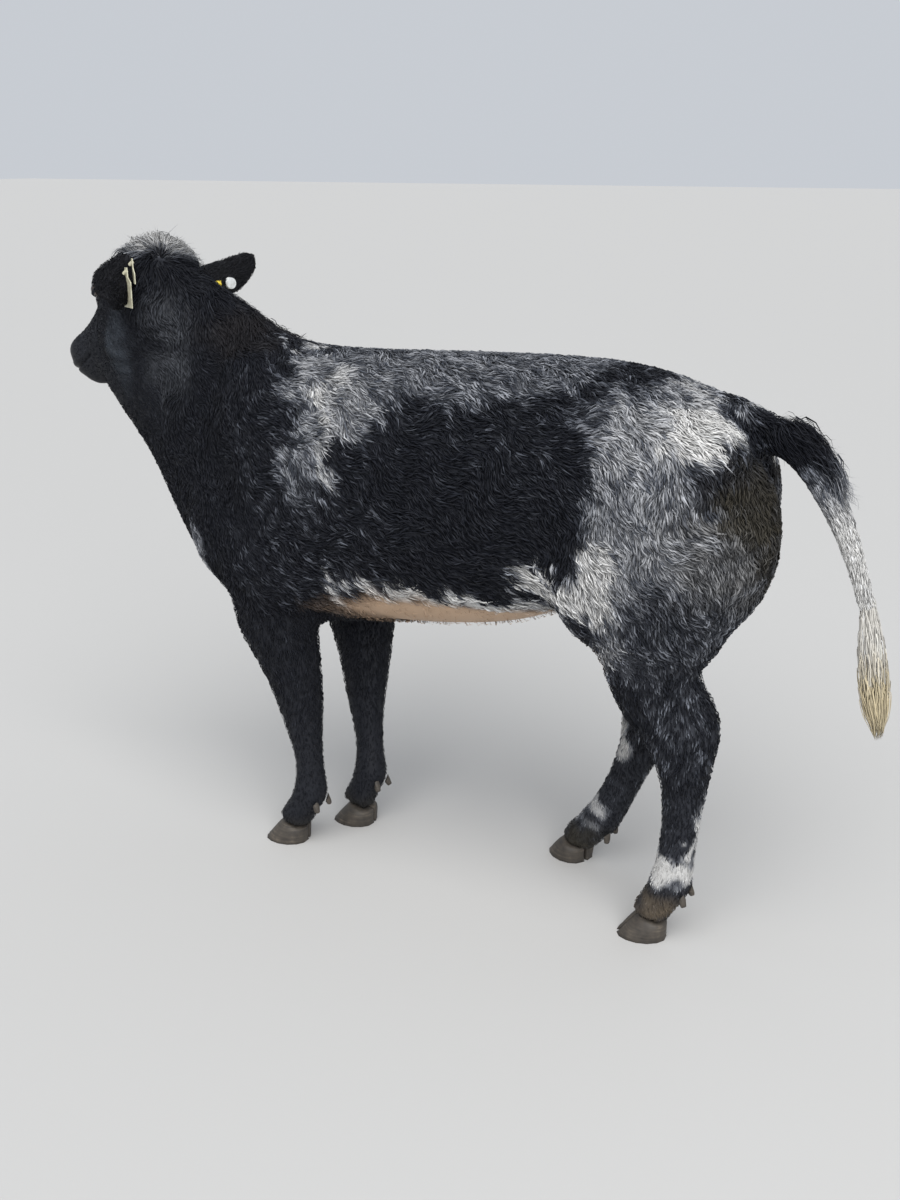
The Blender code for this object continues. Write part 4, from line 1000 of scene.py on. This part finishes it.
def region_of(points):
    """The place in COAT of the piece that each point belongs to."""
    x, _, z = points.T
    names = list(COAT)
    region = np.full(len(points), names.index("coat_shoulders"))
    for name, inside in (
        ("coat_barrel", x > -0.126),
        ("coat_neck", x + 0.44 * (z - 0.9) < -0.335),
        ("coat_rump", (x > 0.334) & (z > 0.93)),
        ("coat_thighs", (x > 0.334) & (z <= 0.93)),
        ("coat_forelegs", (z < 0.60) & (x < 0.1)),
        ("coat_hindlegs", (z < 0.655) & (x > 0.334)),
        ("coat_hindlegs", (z < 0.40) & (x > 0.0)),
        ("coat_head", head_share(points) > 0.5),
        ("coat_tail", tail_share(points) > 0.5),
    ):
        region[inside] = names.index(name)
    return region


def lock_length(points, usual):
    """Shorter locks on the lower legs, the face and the bare skin, longer on the crest."""
    x, _, z = points.T
    head = head_share(points)
    share = 1 - 0.42 * (rise(0.45, 0.20, z) * (x < 0.75))
    share *= 1 - head * 0.45 * rise(0.12, 0.30, in_head(points)[:, 0])
    share *= 1 + 0.35 * (rise(1.14, 1.24, z) * rise(-0.34, -0.42, x) * (1 - head))
    share *= 1 - 0.6 * patch_share(points, *BARE_SKIN)
    return usual * share


class Skin:
    """The triangles of a piece that hair grows on."""

    def __init__(self, mesh):
        mesh.calc_loop_triangles()
        self.corners = numbers_of(mesh.loop_triangles, "vertices", 3, np.int64)
        self.places = points_of(mesh)
        self.normals = normals_of(mesh)
        first, second, third = (self.places[self.corners[:, i]] for i in range(3))
        self.middles = (first + second + third) / 3
        self.area = 0.5 * np.linalg.norm(np.cross(second - first, third - first), axis=1)
        self.tree = BVHTree.FromPolygons(self.places.tolist(), self.corners.tolist())

    def rooted(self, density, count, chance):
        """Roots spread over the skin by the density at each triangle, and which way it faces there."""
        weight = self.area * density
        total = np.cumsum(weight)
        picks = (np.arange(count) + chance.random(count)) / count * total[-1]
        index = np.minimum(np.searchsorted(total, picks), len(weight) - 1)
        u, v = chance.random(count), chance.random(count)
        flip = u + v > 1
        u[flip], v[flip] = 1 - u[flip], 1 - v[flip]
        shares = np.stack((1 - u - v, u, v), axis=1)[:, :, None]
        chosen = self.corners[index]
        roots = (self.places[chosen] * shares).sum(axis=1)
        return roots, unit((self.normals[chosen] * shares).sum(axis=1))

    def settled(self, places):
        """The nearest places on the skin, and which way it faces there."""
        found = np.empty_like(places)
        facing = np.empty_like(places)
        for i, place in enumerate(places.tolist()):
            found[i], facing[i], _, _ = self.tree.find_nearest(place)
        return found, facing


def per_corner(values, last):
    """A number for each corner of a lock: three times that of each ring, then the tip's."""
    return np.array([value for value in values for _ in range(3)] + [last])


def add_locks(name, shape, roots, axis, colours, painted_shade_gain, material):
    """Tapered closed locks of three sides as one piece. Their shape is the middles of the rings, the tips,
    and the sideways, upwards and half width of each ring."""
    rings, tips, sides, ups, half = shape
    count, steps = rings.shape[:2]
    along = 3 * steps + 1
    half = half[:, :, None]
    corners = np.empty((count, along, 3))
    corners[:, 0:-1:3] = rings - sides * half
    corners[:, 1:-1:3] = rings + ups * half * 0.45
    corners[:, 2:-1:3] = rings + sides * half
    corners[:, -1] = tips
    pattern = [(0, 2, 1)]
    for k in range(steps - 1):
        for j in range(3):
            a, b = 3 * k + j, 3 * k + (j + 1) % 3
            pattern += [(a, b, b + 3), (a, b + 3, a + 3)]
    last = 3 * (steps - 1)
    pattern += [(last + j, last + (j + 1) % 3, along - 1) for j in range(3)]
    faces = (np.array(pattern)[None] + (np.arange(count) * along)[:, None, None]).reshape(-1, 3)
    mesh = bpy.data.meshes.new(name)
    mesh.vertices.add(count * along)
    mesh.vertices.foreach_set("co", corners.astype(np.float32).ravel())
    mesh.loops.add(faces.size)
    mesh.loops.foreach_set("vertex_index", faces.astype(np.int32).ravel())
    mesh.polygons.add(len(faces))
    mesh.polygons.foreach_set("loop_start", np.arange(0, faces.size, 3, dtype=np.int32))
    mesh.polygons.foreach_set("use_smooth", np.ones(len(faces), dtype=bool))
    mesh.update(calc_edges=True)
    # Each ring's colour scaled by the painted shade at its place along the lock
    shades = np.clip(colours[:, None, :] * painted_shade_gain[None, :, None], 0, 1)
    put_colour(mesh, "Coat", shades.reshape(-1, 3))
    share = np.tile(per_corner([k / steps for k in range(steps)], 1.0), count)
    across = np.tile([0.0, 0.5, 1.0] * steps + [0.5], count)
    strand = np.stack((across, share), axis=1)
    strand[:, 0] += np.repeat(np.arange(count) % 97, along)
    bake = np.repeat(unwrapped(roots, axis), along, axis=0)
    bake[:, 0] += (across - 0.5) * BAKE_WIDTH
    bake[:, 1] += (share - 0.5) * BAKE_WIDTH
    for layer_name, places in (("OFBake", bake), ("Strand", strand)):
        layer = mesh.uv_layers.new(name=layer_name)
        layer.data.foreach_set("uv", places[faces.ravel()].astype(np.float32).ravel())
    return new_piece(name, mesh, material)


def unwrapped(points, axis):
    """Places of the roots on the skin's own unwrap: along a part's axis and round it."""
    axis = np.array(axis) / np.linalg.norm(axis)
    helper = np.array((0.0, 1.0, 0.0)) if abs(axis[1]) < 0.9 else np.array((0.0, 0.0, 1.0))
    first = np.cross(axis, helper)
    first /= np.linalg.norm(first)
    offset = points - points.mean(axis=0)
    run = offset @ axis
    run = (run - run.min()) / max(np.ptp(run), 1e-6)
    turn = np.arctan2(offset @ np.cross(axis, first), offset @ first) / (2 * math.pi) + 0.5
    return np.stack((0.01 + 0.98 * run, 0.01 + 0.98 * turn), axis=1)


def grow(name, skin, rooted, course, length, width, lift, steps, chance, material, axis, curl,
         colours=None, tip_lift=0.75, painted_shade=LOCK_PAINTED_SHADE):
    """Locks that leave the skin, bend over it and lie along it."""
    roots, facing = rooted
    count = len(roots)
    step = length / steps
    rings, sides, ups = np.empty((3, count, steps, 3))
    half = np.empty((count, steps))
    phase = 2 * math.pi * (0.5 + 0.5 * drift(roots, 0.05, 51)) + chance.normal(0, 0.7, count)
    sway = curl * np.exp(chance.normal(0, 0.35, count))
    layer = 0.35 + 0.65 * chance.random(count)
    place, normal, heading = roots, facing, course
    roll = chance.normal(0, 0.45, count)
    for k in range(steps + 1):
        if k > 0:
            place, normal = skin.settled(place + heading * step[:, None])
            heading = unit(laid(heading, normal))
        across = np.cross(heading, normal)
        swing = sway * np.sin(phase + 4.4 * k / steps) * (0.35 + k / steps)
        spot = place + across * swing[:, None]
        if k == steps:
            reach = lift * (tip_lift * layer * (0.4 + 0.8 * chance.random(count)))
            tips = spot + normal * reach[:, None]
            break
        arch = 0.55 + 0.45 * math.sin(math.pi * min(1.0, (k + 0.3) / steps))
        height = lift * layer * arch if k > 0 else np.full(count, -0.0012)
        rings[:, k] = spot + normal * height[:, None]
        sides[:, k] = across * np.cos(roll)[:, None] + normal * np.sin(roll)[:, None]
        ups[:, k] = normal * np.cos(roll)[:, None] - across * np.sin(roll)[:, None]
        half[:, k] = 0.5 * width * LOCK_SWELL[k]
    if colours is None:
        colours = coat_colour(roots, chance)
    # Painted shade along the lock: darkest at its root, deep in the coat, and lighter towards its tip
    root, end = painted_shade
    painted_shade_gain = per_corner([root + (end - root) * k / steps for k in range(steps)], end)
    piece = add_locks(name, (rings, tips, sides, ups, half), roots, axis, colours, painted_shade_gain, material)


def make_coat(skin, material):
    chance = np.random.default_rng(7)
    middles = skin.middles
    region = region_of(middles)
    local = in_head(middles)
    muzzle = head_share(middles) * rise(0.318, 0.345, local[:, 0])
    density = (1 - 0.92 * patch_share(middles, *BARE_SKIN)) * (1 - 0.97 * muzzle)
    eye = np.linalg.norm(mirrored(local) - np.array(EYE_PLACE) - np.array(EYE_OUT) * 0.010, axis=1)
    density *= rise(0.019, 0.026, eye)
    for number, (name, (full, length, width, axis)) in enumerate(COAT.items()):
        count = for_now(full, full // 3)
        rooted = skin.rooted(density * (region == number), count, chance)
        roots = rooted[0]
        course = lie_of_hair(*rooted)
        usual = lock_length(roots, length) * np.exp(chance.normal(0, 0.22, count))
        wide = width * np.exp(chance.normal(0, 0.25, count)) * for_now(1.0, 1.6)
        wide = wide * np.clip(usual / length, 0.5, 1.2)
        lift = coat_depth(roots) * 1.15
        curl = 0.0030 if length > 0.030 else 0.0009
        grow(name, skin, rooted, course, usual, wide, lift, COAT_RINGS, chance, material, axis, curl=curl)


def make_switch(material, chance):
    """The long hair at the tail's end, wavy and gathered to a point."""
    count = for_now(1000, 400)
    steps = SWITCH_RINGS
    top = np.array(SWITCH_TOP)
    axis = np.array(SWITCH_TIP) - top
    length = np.linalg.norm(axis)
    axis /= length
    first = np.cross(axis, (0, 1, 0))
    first /= np.linalg.norm(first)
    start = chance.uniform(-0.16, 0.62, count)
    turn = chance.uniform(0, 2 * math.pi, count)
    run = np.minimum(chance.uniform(0.28, 0.60, count), chance.uniform(0.86, 1.0, count) - start)
    layer = np.sqrt(chance.random(count))
    wave = chance.uniform(0, 2 * math.pi, count)
    out = first * np.cos(turn)[:, None] + np.cross(axis, first) * np.sin(turn)[:, None]
    around = np.cross(axis, out)
    rings, sides, ups = np.empty((3, count, steps, 3))
    for k in range(steps + 1):
        t = start + run * k / steps
        body = np.interp(t, SWITCH_RUN, SWITCH_BODY)
        radius = body * (0.30 + 0.66 * layer) * (1 if k else 0.6) * (1 - 0.35 * (k / steps) ** 2)
        swing = 0.0050 * np.sin(wave + 5.5 * t) + 0.0026 * np.sin(2.3 * wave + 17 * t)
        spot = top + axis * (t * length)[:, None] + out * radius[:, None] + around * swing[:, None]
        if k < steps:
            rings[:, k], sides[:, k], ups[:, k] = spot, -around, out
    half = np.tile(0.0016 * np.array(SWITCH_SWELL), (count, 1))
    tone = np.exp(chance.normal(0, 0.18, count))
    pale = rise(0.05, 0.50, start)
    colour = blended(WHITE_HAIR * 0.93, SWITCH_HAIR, 0.20 + 0.75 * pale)
    colour = np.clip(colour * tone[:, None], 0, 1)
    # Painted shade along the switch's locks, darker at their roots inside the switch
    painted_shade_gain = per_corner([0.80 + 0.03 * k for k in range(steps)], 0.95)
    shape = (rings, spot, sides, ups, half)
    piece = add_locks("coat_switch", shape, rings[:, 0], axis, colour, painted_shade_gain, material)
    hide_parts("tail_switch")


def make_long_locks(skin, material, chance):
    """The tuft on the poll, the shaggy crest and the fringe along the top of the tail."""
    middles = skin.middles
    x, _, z = middles.T
    _, where, _ = along_tail(middles)
    up = skin.normals[skin.corners].mean(axis=1)[:, 2]
    crest = rise(-0.36, -0.44, x) * (1 - head_share(middles)) * rise(0.55, 0.8, up) * rise(1.10, 1.18, z)
    fringe = tail_share(middles) * rise(0.2, 0.6, up) * rise(0.55, 0.40, where)
    # Each with its count, length, width, lift, curl, and painted shade from root to tip
    tufts = (
        # The poll's locks carry deep painted shadow at their roots, under the tuft, and end lighter than
        # their colour
        ("coat_poll", poll_share(middles), 2000, 0.042, 0.0022, 0.017, 0.0035, (0.30, 1.25)),
        ("coat_crest", crest, 1500, 0.046, 0.0026, 0.012, 0.0045, LOCK_PAINTED_SHADE),
        ("coat_tail_fringe", fringe, 900, 0.046, 0.0022, 0.021, 0.0030, LOCK_PAINTED_SHADE),
    )
    for name, spread, full, length, width, lift, curl, painted_shade in tufts:
        count = for_now(full, full // 2)
        rooted = skin.rooted(spread, count, chance)
        course = lie_of_hair(*rooted)
        usual = length * np.exp(chance.normal(0, 0.20, count))
        wide = width * np.exp(chance.normal(0, 0.2, count))
        height = lift * np.exp(chance.normal(0, 0.2, count))
        grow(name, skin, rooted, course, usual, wide, height, TUFT_RINGS, chance, material, (1, 0, 0.3),
             curl=curl, tip_lift=1.5, painted_shade=painted_shade)


def clear_of_tags(points):
    """0 close to the white button, 1 away from it."""
    middle = points_of(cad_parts["tag_button_right"].data).mean(axis=0)
    return rise(0.015, 0.024, np.linalg.norm(points - middle, axis=1))


def make_ear_hair(ear, side, material, chance):
    """Short black fur over the ear, denser towards its end."""
    skin = Skin(ear.data)
    root, along = (np.array(part) for part in ear_axes(side)[:2])
    run = (skin.middles - root) @ along / EAR_LENGTH
    count = for_now(2600, 1200)
    density = (0.35 + 0.65 * rise(0.0, 0.3, run)) * clear_of_tags(skin.middles)
    rooted = skin.rooted(density, count, chance)
    roots, facing = rooted
    course = np.tile(along, (count, 1)) + drift_three(roots, 0.03, 61) * 0.35
    course = unit(laid(course, facing))
    usual = 0.017 * np.exp(chance.normal(0, 0.25, count))
    wide = 0.0019 * np.exp(chance.normal(0, 0.2, count))
    lift = np.full(count, 0.0038)
    colours = EAR_HAIR * np.exp(chance.normal(0, 0.3, count))[:, None]
    grow("coat_ear_" + side, skin, rooted, course, usual, wide, lift, COAT_RINGS, chance, material, along,
         colours=colours, curl=0.0012, tip_lift=1.6)


# Camera, light and floor

def add_camera():
    data = bpy.data.cameras.new("camera")
    data.lens = CAMERA_LENS
    data.sensor_width = 36
    data.clip_end = 100
    camera = placed("camera", data)
    camera.location = CAMERA_PLACE
    camera.rotation_euler = Euler((math.radians(90 - CAMERA_TILT), 0, math.radians(CAMERA_TURN)))
    bpy.context.scene.camera = camera


def add_light(name, kind, place, aim, power, softness, colour):
    """A broad lamp close by, or an even light from far off, whose softness is its width or its angle."""
    data = bpy.data.lights.new(name, kind)
    if kind == "AREA":
        data.shape = "DISK"
        data.size = softness
    else:
        data.angle = softness
    data.energy = power
    data.color = colour
    light = placed(name, data)
    light.location = place
    light.rotation_euler = (Vector(aim) - Vector(place)).to_track_quat("-Z", "Y").to_euler()


def add_stage():
    """A pale floor under an even sky, with one broad lamp to the side."""
    bm = bmesh.new()
    bmesh.ops.create_grid(bm, x_segments=1, y_segments=1, size=FLOOR_HALF)
    floor = placed("floor", mesh_of("floor", bm))
    made, _, _ = new_material("pale_floor", FLOOR_COLOUR, 0.9)
    floor.data.materials.append(made)
    floor.location.z = -0.0005
    world = bpy.data.worlds.new("studio")
    world.use_nodes = True
    sky = world.node_tree.nodes["Background"].inputs
    sky["Color"].default_value = SKY_COLOUR
    sky["Strength"].default_value = SKY_STRENGTH
    bpy.context.scene.world = world
    bpy.context.scene.view_settings.view_transform = "Standard"
    add_light("sky", "SUN", (0.9, -2.0, 3.4), (0, 0, 0.7), 2.9, 1.0, (1.0, 0.99, 0.97))
    add_light("side", "AREA", (3.4, -4.0, 2.2), (0.1, 0, 0.7), 70, 2.4, (0.97, 0.98, 1.0))


def finish_tags():
    """The ear tags keep their solids and get worn plastic."""
    pale = tag_material("tag_pale_plastic", (0.62, 0.60, 0.45), (0.36, 0.33, 0.23))
    yellow = tag_material("tag_yellow_plastic", (0.80, 0.60, 0.02), (0.55, 0.40, 0.03))
    white = tag_material("tag_white_plastic", (0.72, 0.74, 0.74), (0.50, 0.50, 0.48))
    for name, made in (
        ("tag_pale_left_a", pale), ("tag_pale_left_b", pale),
        ("tag_yellow_right", yellow), ("tag_button_right", white),
    ):
        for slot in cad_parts[name].material_slots:
            slot.material = made


def main():
    add_camera()
    hide_look = hide_material()
    hair_look = hair_material("coat_hair")
    eye_look = eye_material()
    horn_look = horn_material()
    skin = Skin(make_hide(hide_look).data)
    chance = np.random.default_rng(19)
    make_coat(skin, hair_look)
    make_long_locks(skin, hair_look, chance)
    make_switch(hair_material("switch_hair", 0.45), chance)
    for side in SIDES:
        make_ear_hair(make_ear(side, hide_look), side, hair_look, chance)
        make_eye(side, eye_look)
    for foot in FEET:
        make_hoof(foot, horn_look)
    finish_tags()
    add_stage()


main()
